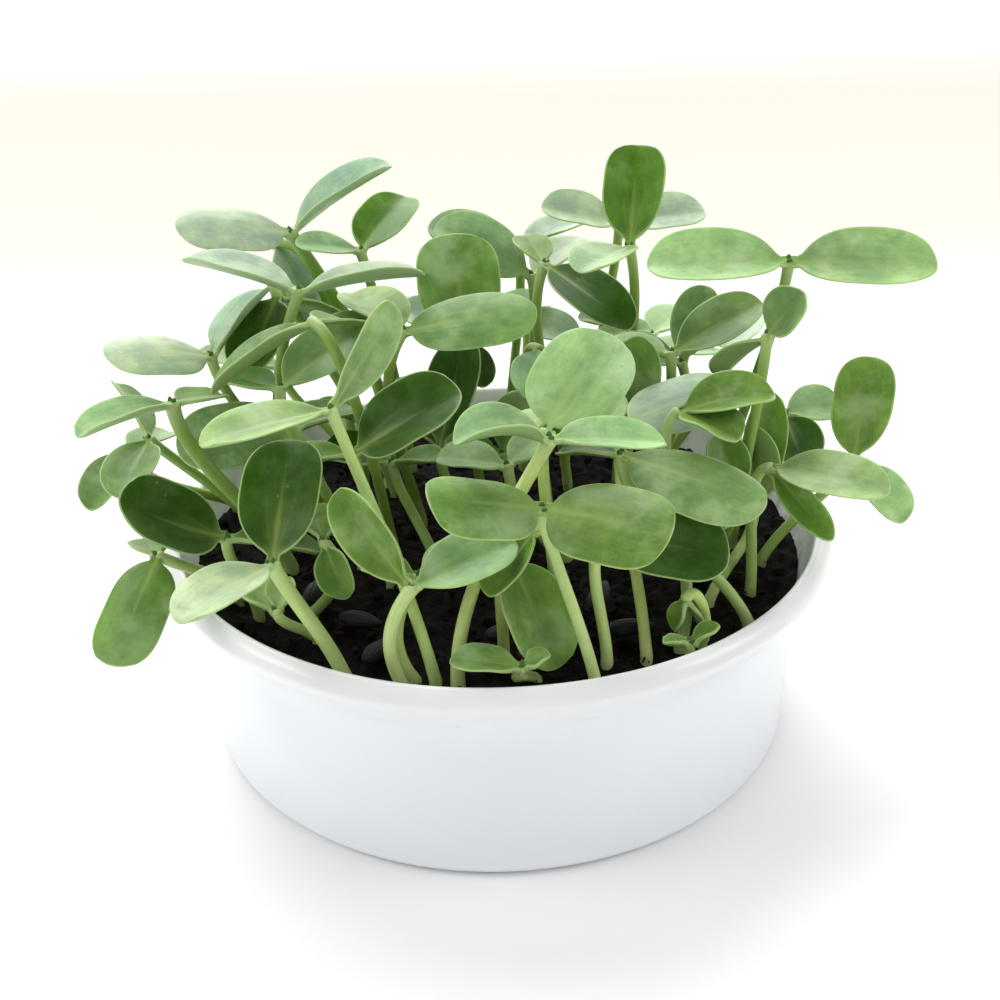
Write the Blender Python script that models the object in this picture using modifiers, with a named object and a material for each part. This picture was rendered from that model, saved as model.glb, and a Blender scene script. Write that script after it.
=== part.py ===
"""A round plastic bowl of sunflower microgreens, in metres, +Z up, standing on z = 0.

The bowl is a turned shell, filled with soil to just under its flared lip. Each seedling is one
piece: a bent stem that stands in a hole in the soil, a small bud, and a pair of seed leaves.
A seedling that would cross a neighbour is bent clear of it. Empty seed hulls lie on the soil.
"""

import math
from collections import namedtuple

import bmesh
import bpy
import numpy as np
from mathutils import Vector
from mathutils.kdtree import KDTree

MM = 0.001
OBJECT_NAME = "sunflower_microgreens"
MERGE = 0.00001

# Bowl, in millimetres
RIM_RADIUS = 85.0
LIP_RADIUS = 81.0
RIM_HEIGHT = 56.0
WALL_RADIUS = 76.0
WALL_THICK = 1.6
FLOOR_THICK = 2.2
TURNED_STEPS = 32

# Soil, in millimetres: GAP is left round each stem, WALL_GAP along the bowl
GAP = 0.3
WALL_GAP = 0.35
SOIL_HEIGHT = 47.5
SOIL_UNEVEN = 0.7
SOIL_RINGS = 3
HOLE_SIDES = 6
HOLE_RISE = 3.0

# Seedlings, in millimetres
ROOT_DEPTH = 7.0
STEM_THICK = 2.8
STEM_PIECES = 4
COLLAR_HEIGHT = 1.0
BUD_LENGTH = 2.4
BUD_TIP = 0.8
BLADE_THICK = 0.9
BLADE_SPANS_LONG = 6
SHORT_BLADE = 22.5
SHORT_BLADE_SPANS = 4
BLADE_SPANS_WIDE = 2
CREASE_ANGLE = 45
STALK_SHARE = 0.05
BASE_OUT = 0.5
STALK_HALF_WIDTH = 1.3
TIP_BLUNTNESS = 0.06
WIDEST_LATER = 1.08
SQUARENESS, BLUNT_SQUARENESS = 2.2, 1.3
TAPERING, BLUNT_TAPERING = 0.2, 0.25
CUP_POWER = 1.6
LOWER_SHARE, UPPER_SHARE = 0.35, 0.3
LOWER_UPRIGHT, UPPER_UPRIGHT = 0.6, 0.8

# How a crowded seedling may bend: leaves turn and tip in degrees, stem and head shift in millimetres
LEAF_TURNS = range(-20, 21, 5)
LEAF_TIPS = range(-25, 26, 5)
STEM_BOWS = range(-9, 10, 3)
HEAD_SHIFTS = range(-8, 9, 2)
HEAD_SHIFT_HEADING, HEAD_SHIFT_PITCH = 90, -27

# Points sampled to see how close neighbours come
BLADE_SAMPLES_LONG, BLADE_SAMPLES_WIDE = 22, 13
STEM_SAMPLES = 36
BOWL_SAMPLES = 60

# Least distances between the middles of neighbours, in millimetres
BLADE_TO_BLADE = 1.8
BLADE_TO_STEM = 2.9
STEM_TO_STEM = 4.0
BLADE_TO_BOWL = 1.6
STEM_TO_BOWL = 2.6

# Seed hulls, in millimetres
HULL_SIZE = (11.0, 5.5, 3.8)
HULL_NARROWING = 0.45
HULL_LIFT = 0.4
HULL_SEGMENTS, HULL_RINGS = 7, 5

# heading, pitch and roll in degrees; length and width in millimetres; curl in degrees; cup in millimetres
Leaf = namedtuple("Leaf", "heading pitch roll length width curl cup blunt", defaults=[0])
Seedling = namedtuple("Seedling", "foot head leaves bow thick")


def seedling(foot, head, *leaves, bow=(0, 0), thick=STEM_THICK):
    return Seedling(foot, head, [Leaf(*leaf) for leaf in leaves], bow, thick)


SEEDLINGS = [
    # in front, over the near rim
    seedling((21, -70), (10, -58, 85), (-150, 19, -30, 28, 16, 10, -2, 1), (-30, 2, 32, 29, 19, 20, -2, 1)),
    seedling((-20, -70), (-18, -68, 72), (135, 34, -55, 27, 11, 10, 3), (28, 10, 25, 25, 13, 15, 2),
             bow=(-5, 0), thick=3.1),
    seedling((-34, -64), (-48, -60, 74), (85, 34, 0, 31, 18, 10, 2, 0.4), (-125, 0, 0, 27, 15, 15, 2),
             thick=3.5),
    seedling((-9, -68), (12, -47, 96), (-160, 8, 0, 22, 14, 50, 4), (12, -8, 10, 26, 12, 8, 2, 0.4),
             bow=(-6, 3), thick=3.2),
    seedling((1, -56), (3, -53, 71), (-58, -50, 0, 26, 16, 10, 2, 0.5), (100, -10, 0, 12, 8, 15, 1)),
    seedling((-14, -66), (-36, -35, 99), (-150, -2, -5, 30, 14, 10, 2), (60, 32, 60, 31, 10, 10, 3)),
    seedling((58, -45), (29, -30, 84), (-30, -9, 18, 35, 19, 15, -2, 0.3), (150, -10, 0, 16, 11, 20, 2)),
    seedling((14, -38), (11, -36, 93), (52, 30, 20, 30, 22, 10, -1, 0.5), (110, -10, 0, 20, 13, 15, 1)),
    seedling((14, -56), (9, -54, 78), (-130, -33, 0, 18, 11, 15, 2), (60, -30, 0, 14, 10, 15, 1)),
    seedling((24, -60), (24, -45, 71), (-8, -8, 35, 28, 18, 15, 2, 0.5), (100, 0, 0, 16, 11, 15, 1)),
    # left side
    seedling((-57, -36), (-62, -38, 69), (-150, 36, -45, 28, 17, -35, 3, 0.4), (20, -22, 0, 24, 12, 15, 2)),
    seedling((-63, -28), (-76, -46, 69), (-100, -20, -10, 30, 14, 20, -1.5, 0.8), (120, -5, 0, 12, 9, 15, 1)),
    seedling((-52, -14), (-76, -15, 93), (-130, 2, 0, 26, 11, 15, 3), (50, -10, 0, 15, 12, 15, 1),
             thick=3.7),
    seedling((-42, 4), (-50, 0, 79), (-165, -3, -50, 29, 17, 15, 2, 0.5), (60, -10, 0, 27, 16, 15, 2)),
    seedling((-34, -14), (-52, -5, 92), (40, 18, 15, 32, 17, 15, 2, 0.5), (150, 0, 0, 18, 12, 15, 1)),
    seedling((-26, -8), (-42, -10, 111), (-168, -37, 10, 29, 14, 15, 3), (60, -20, 0, 18, 12, 15, 1)),
    seedling((-62, 4), (-88, 5, 75), (-100, -15, 0, 22, 14, 15, 2), (125, 24, 40, 22, 10, 15, 2)),
    seedling((-71, 20), (-96, 18, 66), (-110, -25, 0, 20, 12, 15, 2), (60, -5, 0, 16, 12, 15, 1)),
    seedling((-46, 14), (-71, 10, 95), (-142, 15, -20, 28, 16, 30, -1.5, 0.4), (55, 27, -20, 25, 13, 15, 3)),
    seedling((-28, 26), (-56, 30, 104), (-110, -36, 0, 24, 16, 15, 2, 0.5), (50, -35, 0, 24, 16, 15, 2)),
    seedling((-50, -4), (-47, 5, 114), (168, 13, 5, 30, 15, 10, 3), (15, 2, -10, 31, 15, 15, 3)),
    seedling((-30, 32), (-53, 35, 121), (-150, 12, -30, 31, 16, 25, -1.5, 0.4), (15, 29, 5, 32, 14, 15, 4),
             thick=3.6),
    seedling((-40, 46), (-60, 56, 111), (-30, -40, 0, 25, 16, 15, 1), (150, 0, 0, 20, 14, 15, 1)),
    # middle
    seedling((-26, -24), (-33, -18, 80), (12, 55, 30, 29, 19, 15, 3, 0.4), (-170, -5, 0, 20, 12, 15, 2)),
    seedling((-8, 5), (-14, 0, 72), (72, 45, 0, 32, 14, 15, 2), (110, 25, 0, 27, 14, 15, 2)),
    seedling((-20, 10), (-22, 5, 102), (5, 7, 28, 33, 17, 15, -1.5, 0.7), (135, -20, 0, 28, 16, 15, 2)),
    seedling((-4, 24), (-8, 26, 92), (95, 55, 0, 29, 22, 15, 2, 0.5), (-60, -30, 0, 14, 10, 15, 1)),
    seedling((8, 42), (11, 45, 103), (-168, 28, -45, 29, 16, 25, 2), (50, 15, 0, 22, 13, 15, 1)),
    seedling((-24, 42), (-35, 45, 111), (62, 20, 10, 26, 15, 15, 2, 0.6), (-165, 15, -20, 18, 10, 15, 1)),
    seedling((4, 64), (8, 66, 105), (-175, 15, -40, 26, 14, 15, 2), (30, 10, 0, 24, 14, 15, 2)),
    seedling((14, 16), (12, 18, 92), (-100, -15, 0, 20, 11, 15, 2), (20, -45, 0, 22, 14, 15, 2)),
    # right side
    seedling((34, 32), (36, 30, 115), (80, 45, 0, 30, 16, 10, 3, 0.5), (-120, 3, 0, 28, 15, 15, 2)),
    seedling((26, 56), (36, 60, 113), (-165, 16, -30, 23, 14, 15, 2), (8, 4, 30, 24, 14, 15, 2)),
    seedling((20, 30), (14, 33, 110), (-48, -18, 15, 32, 15, 15, 2), (110, 0, 0, 15, 10, 15, 1)),
    seedling((56, 4), (72, 5, 118), (-176, 1, -30, 34, 17, 10, 3, 0.3), (-12, 1, 40, 34, 16, 10, 3, 0.3)),
    seedling((44, 12), (45, 10, 93), (25, 20, 30, 28, 13, 15, 2), (150, -5, 0, 20, 13, 15, 2)),
    seedling((60, -8), (66, -5, 103), (-30, 55, 60, 14, 12, 15, 2), (110, -45, 0, 20, 14, 15, 2)),
    seedling((66, -16), (90, -5, 69), (70, 48, 0, 28, 15, 15, 2, 0.5), (-70, -18, 0, 22, 13, 15, 2)),
    seedling((61, -30), (66, -20, 75), (-37, 3, 20, 29, 14, 15, 2, 0.4), (-56, -26, 45, 23, 7.5, 15, 2)),
    seedling((62, 18), (75, 12, 75), (20, 0, 30, 17, 12, 15, 2), (-80, -25, 10, 18, 14, 15, 2)),
    seedling((33, -58), (31, -15, 85), (30, 14, 15, 30, 19, 15, -1.5, 0.5), (120, 0, 0, 22, 14, 15, 2)),
    seedling((41, -54), (43, -20, 90), (5, 8, 20, 23, 13, 25, 3), (-35, -12, 0, 16, 15, 35, 2, 0.8)),
    # behind
    seedling((50, 44), (66, 52, 77), (70, 5, 0, 28, 16, 15, 1), (-160, 10, 0, 25, 15, 15, 1)),
    seedling((38, 60), (48, 78, 73), (60, 0, 0, 30, 16, 15, 1), (-160, 20, 0, 25, 15, 15, 1)),
    seedling((8, 71), (10, 88, 76), (100, -5, 0, 29, 16, 15, 1), (-90, 25, 0, 24, 15, 15, 1)),
    seedling((-44, 54), (-62, 64, 70), (160, 5, 0, 29, 16, 15, 1), (0, 15, 0, 24, 15, 15, 1)),
    # late ones, low among the stems
    seedling((-42, -48), (-50, -50, 56), (140, 10, 0, 11, 8, 15, 2), (80, 30, 0, 9, 7, 15, 2), thick=2.6),
    seedling((8, -66), (5, -69, 53), (176, 6, 0, 15, 11, 20, 1), (10, 25, 0, 6, 6, 15, 1), thick=2.6),
    # in the gaps
    seedling((50, -36), (66, -12, 62), (60, 72, 20, 28, 11, 15, 2), (-160, 62, 0, 21, 13, 15, 2, 0.4)),
    seedling((4, -30), (3, -16, 75), (172, 5, -10, 17, 12, 15, 2), (40, 20, 0, 15, 11, 15, 1)),
    seedling((-14, -20), (-26, -2, 70), (158, 5, -20, 19, 12, 15, 2), (-30, 15, 0, 15, 10, 15, 2)),
    seedling((20, 44), (26, 44, 84), (153, 10, -25, 20, 12, 15, 2), (-15, 15, 10, 18, 11, 15, 2)),
]

# x, y, heading and tilt of each seed hull
HULLS = [(-32, -44, -20, 0), (2, -50, 20, 0), (24, -37, 70, 10), (-4, -20, 30, 0)]


def unit(vector):
    """The vector at length 1."""
    return vector / np.linalg.norm(vector)


def direction(heading, pitch):
    """Unit vector at a heading round Z from +X and a pitch above level, both in degrees."""
    heading, pitch = math.radians(heading), math.radians(pitch)
    return np.array([
        math.cos(pitch) * math.cos(heading),
        math.cos(pitch) * math.sin(heading),
        math.sin(pitch),
    ])


def blade_points(base, leaf, along, across):
    """Middle surface of a blade: along runs 0 to 1 from base to tip, across -1 to 1 from side to side."""
    blunt = TIP_BLUNTNESS * along ** 6
    grown = np.clip((along * (1 - blunt) - STALK_SHARE) / (1 - STALK_SHARE), 0, 1)
    squareness = SQUARENESS + BLUNT_SQUARENESS * leaf.blunt
    tapering = (TAPERING - BLUNT_TAPERING * leaf.blunt) * (1 - grown) ** 3
    outline = (1 - np.abs(2 * grown ** WIDEST_LATER - 1) ** squareness) ** (0.5 + tapering)
    half = np.maximum(STALK_HALF_WIDTH, leaf.width / 2 * outline)
    along = along * (1 - blunt * across ** 2)
    bend = math.radians(leaf.curl)
    angle = bend * (0.5 - along)
    forward = leaf.length * (math.sin(bend / 2) - np.sin(angle)) / bend
    rise = leaf.length * (np.cos(angle) - math.cos(bend / 2)) / bend
    rise = rise + leaf.cup * outline * np.abs(across) ** CUP_POWER
    forward = forward + BASE_OUT
    ahead = direction(leaf.heading, leaf.pitch)
    level = direction(leaf.heading + 90, 0)
    above = np.cross(ahead, level)
    roll = math.radians(leaf.roll)
    left = level * math.cos(roll) + above * math.sin(roll)
    above = above * math.cos(roll) - level * math.sin(roll)
    return (
        np.asarray(base, float)
        + np.multiply.outer(forward, ahead)
        + np.multiply.outer(half * across, left)
        + np.multiply.outer(rise, above)
    )


def stem_points(foot, head, bow, leaves, count):
    """Points along a stem, from its root to its junction with the leaves."""
    foot = np.array([*foot, SOIL_HEIGHT])
    head = np.asarray(head, float)
    reach = np.linalg.norm(head - foot)
    axis = unit(sum(direction(leaf.heading, leaf.pitch) for leaf in leaves) + [0, 0, UPPER_UPRIGHT])
    bow = np.array([*bow, 0.0])
    lower = foot + LOWER_SHARE * reach * unit(unit(head - foot) + [0, 0, LOWER_UPRIGHT]) + bow
    upper = head - UPPER_SHARE * reach * axis + bow
    share = np.linspace(0, 1, count)[:, None]
    rest = 1 - share
    curve = rest ** 3 * foot + 3 * rest ** 2 * share * lower
    curve = curve + 3 * rest * share ** 2 * upper + share ** 3 * head
    return curve, axis


def inside_profile(gap):
    """(radius, height) from the middle of the inside floor up to the flare, drawn in by a gap."""
    inner = WALL_RADIUS - WALL_THICK - gap
    floor = FLOOR_THICK + gap
    return [
        (0, floor),
        (inner - 2.5, floor),
        (inner, floor + 2.5),
        (inner + 1.2, RIM_HEIGHT - 15),
        (inner + 3.2, RIM_HEIGHT - 9.5),
    ]


def bowl_profile():
    """(radius, height) from the middle of the inside floor, up and over the lip, down to the base."""
    return inside_profile(0) + [
        (LIP_RADIUS - 1.4, RIM_HEIGHT - 4),
        (LIP_RADIUS - 0.4, RIM_HEIGHT - 0.4),
        (LIP_RADIUS + 0.8, RIM_HEIGHT),
        (RIM_RADIUS - 1.2, RIM_HEIGHT - 1.2),
        (RIM_RADIUS, RIM_HEIGHT - 3.6),
        (RIM_RADIUS - 0.5, RIM_HEIGHT - 5.2),
        (WALL_RADIUS + 5.6, RIM_HEIGHT - 8.5),
        (WALL_RADIUS + 2.8, RIM_HEIGHT - 12.5),
        (WALL_RADIUS + 1.2, RIM_HEIGHT - 18),
        (WALL_RADIUS, 2.2),
        (WALL_RADIUS - 1.8, 0),
        (0, 0),
    ]


def bowl_samples():
    """Points every half millimetre or so round the bowl's section."""
    corners = np.array(bowl_profile(), float)
    share = np.linspace(0, 1, BOWL_SAMPLES)[:, None, None]
    return (corners[:-1] * (1 - share) + corners[1:] * share).reshape(-1, 2)


class Bed:
    """What is planted so far, and how far a new stem or blade would reach into it."""

    def __init__(self):
        self.blades = []
        self.stems = []
        self.blade_tree = self.stem_tree = None
        self.bowl = bowl_samples()

    def add(self, blades, stem):
        self.blades.extend(blades)
        self.stems.extend(stem)
        self.blade_tree = tree_of(self.blades)
        self.stem_tree = tree_of(self.stems)

    def crowding(self, points, to_blade, to_stem, to_bowl):
        """Millimetres by which the points come too close to anything planted, and to the bowl."""
        worst = 0.0
        for tree, least in ((self.blade_tree, to_blade), (self.stem_tree, to_stem)):
            if tree:
                worst = max(worst, least - min(tree.find(point)[2] for point in points))
        low = points[points[:, 2] < RIM_HEIGHT + to_bowl]
        if len(low):
            radii = np.hypot(low[:, 0], low[:, 1])
            near = np.hypot(radii[:, None] - self.bowl[:, 0], low[:, 2:] - self.bowl[:, 1])
            worst = max(worst, to_bowl - near.min())
            inside = low[radii < LIP_RADIUS]
            if len(inside) and to_bowl == BLADE_TO_BOWL:
                worst = max(worst, SOIL_HEIGHT + SOIL_UNEVEN + to_bowl - inside[:, 2].min())
        return worst


def tree_of(points):
    """The points in a tree that finds the nearest of them."""
    tree = KDTree(len(points))
    for index, point in enumerate(points):
        tree.insert(point, index)
    tree.balance()
    return tree


def blade_samples(head, leaf):
    """Points all over a blade's middle surface, but for its stalk."""
    along, across = np.meshgrid(
        np.linspace(0.1, 1, BLADE_SAMPLES_LONG), np.linspace(-1, 1, BLADE_SAMPLES_WIDE)
    )
    return blade_points(head, leaf, along.ravel(), across.ravel())


def tries(*steps):
    """Every combination of the steps' offsets, the smallest first."""
    grids = np.meshgrid(*steps, indexing="ij")
    offsets = np.stack([grid.ravel() for grid in grids], axis=1)
    return offsets[np.argsort(np.abs(offsets).sum(axis=1), kind="stable")]


def bent_leaf(bed, head, leaf):
    """The leaf turned and tipped as little as keeps it clear of what is planted."""
    best = None
    for turn, tip in tries(LEAF_TURNS, LEAF_TIPS):
        tried = leaf._replace(heading=leaf.heading + turn, pitch=leaf.pitch + tip)
        samples = blade_samples(head, tried)
        crowding = bed.crowding(samples, BLADE_TO_BLADE, BLADE_TO_STEM, BLADE_TO_BOWL)
        if best is None or crowding < best[0]:
            best = (crowding, tried, samples)
        if crowding <= 0:
            break
    return best


def bent_stem(bed, plan, head, leaves):
    """The stem bowed aside as little as keeps it clear of what is planted."""
    best = None
    for bow in tries(STEM_BOWS, STEM_BOWS):
        bow = bow + plan.bow
        samples, _ = stem_points(plan.foot, head, bow, leaves, STEM_SAMPLES)
        crowding = bed.crowding(samples, BLADE_TO_STEM, STEM_TO_STEM, STEM_TO_BOWL)
        if best is None or crowding < best[0]:
            best = (crowding, bow, samples)
        if crowding <= 0:
            break
    return best


def planted(bed, plan):
    """The seedling bent clear of its neighbours, then added to the bed."""
    best = None
    for shift in tries(HEAD_SHIFTS)[:, 0]:
        head = plan.head + shift * direction(HEAD_SHIFT_HEADING, HEAD_SHIFT_PITCH)
        bent = [bent_leaf(bed, head, leaf) for leaf in plan.leaves]
        leaves = [tried for _, tried, _ in bent]
        stem = bent_stem(bed, plan, head, leaves)
        crowding = max(0, stem[0]) + sum(max(0, found[0]) for found in bent)
        if best is None or crowding < best[0]:
            best = (crowding, plan._replace(head=head, leaves=leaves, bow=stem[1]), bent, stem)
        if crowding <= 0:
            break
    _, chosen, bent, stem = best
    bed.add(np.concatenate([samples for _, _, samples in bent]), stem[2])
    return chosen


def make_material(name, colour, roughness):
    """A plain Principled BSDF material."""
    material = bpy.data.materials.new(name)
    material.use_nodes = True
    shader = material.node_tree.nodes["Principled BSDF"]
    shader.inputs["Base Color"].default_value = (*colour, 1)
    shader.inputs["Roughness"].default_value = roughness
    shader.inputs["Metallic"].default_value = 0
    material.diffuse_color = (*colour, 1)
    return material


def add_object(name, data, collection, material):
    """An object of this mesh or curve, in the collection."""
    made = bpy.data.objects.new(name, data)
    data.materials.append(material)
    collection.objects.link(made)
    return made


def evaluated_mesh(source):
    """A mesh of the object with its modifiers applied."""
    graph = bpy.context.evaluated_depsgraph_get()
    return bpy.data.meshes.new_from_object(source.evaluated_get(graph))


def remove(*objects):
    """Deletes the objects and their meshes or curves."""
    for gone in objects:
        data = gone.data
        bpy.data.objects.remove(gone)
        if isinstance(data, bpy.types.Mesh):
            bpy.data.meshes.remove(data)
        elif isinstance(data, bpy.types.Curve):
            bpy.data.curves.remove(data)


def turned(name, profile, collection, material):
    """A profile in millimetres, from the inside down its outer side, turned round Z."""
    mesh = bpy.data.meshes.new(name)
    mesh.from_pydata(
        [(radius * MM, 0, height * MM) for radius, height in profile],
        [(index, index + 1) for index in range(len(profile) - 1)],
        [],
    )
    made = add_object(name, mesh, collection, material)
    screw = made.modifiers.new("Turn", "SCREW")
    screw.steps = screw.render_steps = TURNED_STEPS
    screw.use_merge_vertices = True
    screw.merge_threshold = MERGE
    screw.use_smooth_shade = True
    return made


def soil_height(x, y):
    """Height of the crumbled soil surface, in millimetres."""
    waves = np.sin(x / 9 + 1.3) * np.cos(y / 11) + 0.6 * np.sin((x - 2 * y) / 17)
    return SOIL_HEIGHT + SOIL_UNEVEN * waves / 1.6


def make_soil(collection, cutters, material):
    """Soil that fills the bowl to a small gap, with a hole for each stem."""
    sides = inside_profile(WALL_GAP)[::-1]
    edge = sides[0][0]
    rings = [(edge * ring / SOIL_RINGS, SOIL_HEIGHT) for ring in range(SOIL_RINGS + 1)]
    soil = turned("soil", rings + sides, collection, material)
    mesh = evaluated_mesh(soil)
    remove(soil)
    for vertex in mesh.vertices:
        x, y, z = vertex.co / MM
        if z > SOIL_HEIGHT - 0.1 and math.hypot(x, y) < edge - 1:
            vertex.co.z = soil_height(x, y) * MM
    soil = add_object("soil", mesh, collection, material)
    cut = soil.modifiers.new("Stem holes", "BOOLEAN")
    cut.operand_type = "COLLECTION"
    cut.collection = cutters
    return soil


def make_hole(foot, thick, cutters):
    """Cutter for the hole that a stem stands in."""
    radius = (thick / 2 + GAP) / math.cos(math.pi / HOLE_SIDES)
    depth = ROOT_DEPTH + GAP
    bm = bmesh.new()
    bmesh.ops.create_cone(
        bm, cap_ends=True, segments=HOLE_SIDES, radius1=radius * MM, radius2=radius * MM,
        depth=(depth + HOLE_RISE) * MM,
    )
    mesh = bpy.data.meshes.new("stem_hole")
    bm.to_mesh(mesh)
    bm.free()
    hole = bpy.data.objects.new("stem_hole", mesh)
    hole.location = (foot[0] * MM, foot[1] * MM, (SOIL_HEIGHT + (HOLE_RISE - depth) / 2) * MM)
    hole.display_type = "WIRE"
    hole.hide_render = True
    cutters.objects.link(hole)


def make_stem(name, plan, collection, material):
    """Round stem from the bottom of its hole to the bud between the leaves."""
    curve, axis = stem_points(plan.foot, plan.head, plan.bow, plan.leaves, STEM_PIECES + 1)
    root = curve[0] - [0, 0, ROOT_DEPTH]
    collar = curve[0] + [0, 0, COLLAR_HEIGHT]
    bud = curve[-1] + BUD_LENGTH * axis
    points = [root, collar, *curve[1:], bud]
    radii = [plan.thick / 2] * (len(points) - 1) + [BUD_TIP]
    data = bpy.data.curves.new(name, "CURVE")
    data.dimensions = "3D"
    data.bevel_depth = MM
    data.bevel_resolution = 1
    data.use_fill_caps = True
    spline = data.splines.new("POLY")
    spline.points.add(len(points) - 1)
    for point, place, radius in zip(spline.points, points, radii):
        point.co = (*(place * MM), 1)
        point.radius = radius
    tube = add_object(name, data, collection, material)
    mesh = evaluated_mesh(tube)
    remove(tube)
    bm = bmesh.new()
    bm.from_mesh(mesh)
    bmesh.ops.remove_doubles(bm, verts=bm.verts, dist=MERGE)
    bm.to_mesh(mesh)
    bm.free()
    return add_object(name, mesh, collection, material)


def make_blade(head, leaf, collection, material):
    """One seed leaf: a grid laid on the blade's middle surface, split into triangles, then thickened."""
    bm = bmesh.new()
    spans = SHORT_BLADE_SPANS if leaf.length < SHORT_BLADE else BLADE_SPANS_LONG
    bmesh.ops.create_grid(bm, x_segments=spans, y_segments=BLADE_SPANS_WIDE, size=1)
    for vertex in bm.verts:
        step = (vertex.co.x + 1) / 2
        along = (step + (1 - math.cos(math.pi * step)) / 2) / 2
        place = blade_points(head, leaf, np.array([along]), np.array([vertex.co.y]))[0]
        vertex.co = place * MM
    bmesh.ops.remove_doubles(bm, verts=bm.verts, dist=MERGE)
    bmesh.ops.triangulate(bm, faces=bm.faces)
    mesh = bpy.data.meshes.new("blade")
    bm.to_mesh(mesh)
    bm.free()
    blade = add_object("blade", mesh, collection, material)
    thicken = blade.modifiers.new("Thickness", "SOLIDIFY")
    thicken.thickness = BLADE_THICK * MM
    thicken.offset = 0
    return blade


def make_seedling(name, plan, collection, cutters, material):
    """Stem, bud and both leaves, joined into one body."""
    stem = make_stem(name, plan, collection, material)
    joining = bpy.data.collections.new("joining")
    collection.children.link(joining)
    blades = [make_blade(plan.head, leaf, joining, material) for leaf in plan.leaves]
    join = stem.modifiers.new("Join", "BOOLEAN")
    join.operation = "UNION"
    join.operand_type = "COLLECTION"
    join.collection = joining
    mesh = evaluated_mesh(stem)
    remove(stem, *blades)
    bpy.data.collections.remove(joining)
    made = add_object(name, mesh, collection, material)
    mesh.shade_smooth()
    mesh.set_sharp_from_angle(angle=math.radians(CREASE_ANGLE))
    make_hole(plan.foot, plan.thick, cutters)
    return made


def make_hull(name, x, y, heading, tilt, collection, material):
    """An empty seed hull: a flattened ball drawn out to a point at one end."""
    bm = bmesh.new()
    bmesh.ops.create_uvsphere(bm, u_segments=HULL_SEGMENTS, v_segments=HULL_RINGS, radius=0.5)
    for vertex in bm.verts:
        narrowing = 1 - HULL_NARROWING * (vertex.co.z + 0.5) ** 2
        flat = Vector((vertex.co.z, vertex.co.x * narrowing, vertex.co.y * narrowing))
        vertex.co = Vector(flat[axis] * HULL_SIZE[axis] * MM for axis in range(3))
    mesh = bpy.data.meshes.new(name)
    bm.to_mesh(mesh)
    bm.free()
    mesh.shade_smooth()
    hull = add_object(name, mesh, collection, material)
    lift = HULL_SIZE[2] / 2 + HULL_LIFT + HULL_SIZE[0] / 2 * math.sin(math.radians(abs(tilt)))
    hull.location = (x * MM, y * MM, (soil_height(x, y) + lift) * MM)
    hull.rotation_euler = (0, -math.radians(tilt), math.radians(heading))
    return hull


def main():
    """Clears the scene, then builds the bowl, the seedlings, the soil and the hulls."""
    for startup in list(bpy.data.objects):
        bpy.data.objects.remove(startup)
    parts = bpy.data.collections.new(OBJECT_NAME)
    cutters = bpy.data.collections.new("cutters")
    for collection in (parts, cutters):
        bpy.context.scene.collection.children.link(collection)
    plastic = make_material("milky_plastic", (0.86, 0.88, 0.90), 0.25)
    earth = make_material("soil", (0.02, 0.013, 0.01), 0.95)
    leaf = make_material("leaf_green", (0.12, 0.27, 0.07), 0.5)
    husk = make_material("seed_hull", (0.02, 0.02, 0.022), 0.6)

    turned("bowl", bowl_profile(), parts, plastic)
    bed = Bed()
    for number, plan in enumerate(SEEDLINGS, start=1):
        make_seedling(f"seedling_{number:02}", planted(bed, plan), parts, cutters, leaf)
    make_soil(parts, cutters, earth)
    for number, place in enumerate(HULLS, start=1):
        make_hull(f"seed_hull_{number}", *place, parts, husk)


if __name__ == "__main__":
    main()
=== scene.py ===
"""Looks of a round plastic bowl of sunflower microgreens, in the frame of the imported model.

The bowl, the soil, each seedling and each seed hull is built again here as a finer mesh, which
stands for its CAD node. The seedlings follow the same plan as the part's solids and bend clear of
each other by the same rule, so each one lies where its solid is.
"""

import math
from collections import namedtuple

import bmesh
import bpy
import numpy as np
from mathutils import Matrix, Vector, noise
from mathutils.kdtree import KDTree

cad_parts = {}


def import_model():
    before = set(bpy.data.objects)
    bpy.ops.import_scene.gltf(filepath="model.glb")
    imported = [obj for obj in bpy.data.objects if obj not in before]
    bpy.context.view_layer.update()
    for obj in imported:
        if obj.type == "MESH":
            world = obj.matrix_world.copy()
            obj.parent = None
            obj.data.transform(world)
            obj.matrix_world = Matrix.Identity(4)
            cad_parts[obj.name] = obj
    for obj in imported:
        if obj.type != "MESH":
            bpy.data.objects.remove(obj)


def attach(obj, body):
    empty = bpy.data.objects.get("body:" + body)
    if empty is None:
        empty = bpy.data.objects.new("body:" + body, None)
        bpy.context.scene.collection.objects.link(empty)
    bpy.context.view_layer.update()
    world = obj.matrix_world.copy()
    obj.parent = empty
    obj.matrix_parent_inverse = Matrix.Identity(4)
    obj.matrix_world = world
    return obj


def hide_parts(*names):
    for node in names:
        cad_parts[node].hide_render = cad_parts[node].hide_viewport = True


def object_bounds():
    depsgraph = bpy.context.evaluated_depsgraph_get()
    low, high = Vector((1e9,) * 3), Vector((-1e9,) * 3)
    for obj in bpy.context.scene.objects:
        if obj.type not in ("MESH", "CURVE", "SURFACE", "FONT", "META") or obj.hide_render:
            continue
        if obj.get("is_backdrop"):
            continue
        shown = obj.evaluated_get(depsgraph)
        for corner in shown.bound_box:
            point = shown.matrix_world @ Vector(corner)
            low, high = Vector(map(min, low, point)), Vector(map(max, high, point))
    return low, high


MM = 0.001

# Bowl, in millimetres, as in the part
RIM_RADIUS = 85.0
LIP_RADIUS = 81.0
RIM_HEIGHT = 56.0
WALL_RADIUS = 76.0
WALL_THICK = 1.6
FLOOR_THICK = 2.2

# Soil, in millimetres
GAP = 0.3
SOIL_RADIUS = WALL_RADIUS - WALL_THICK - GAP
SOIL_HEIGHT = 47.5
SOIL_UNEVEN = 0.7

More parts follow.
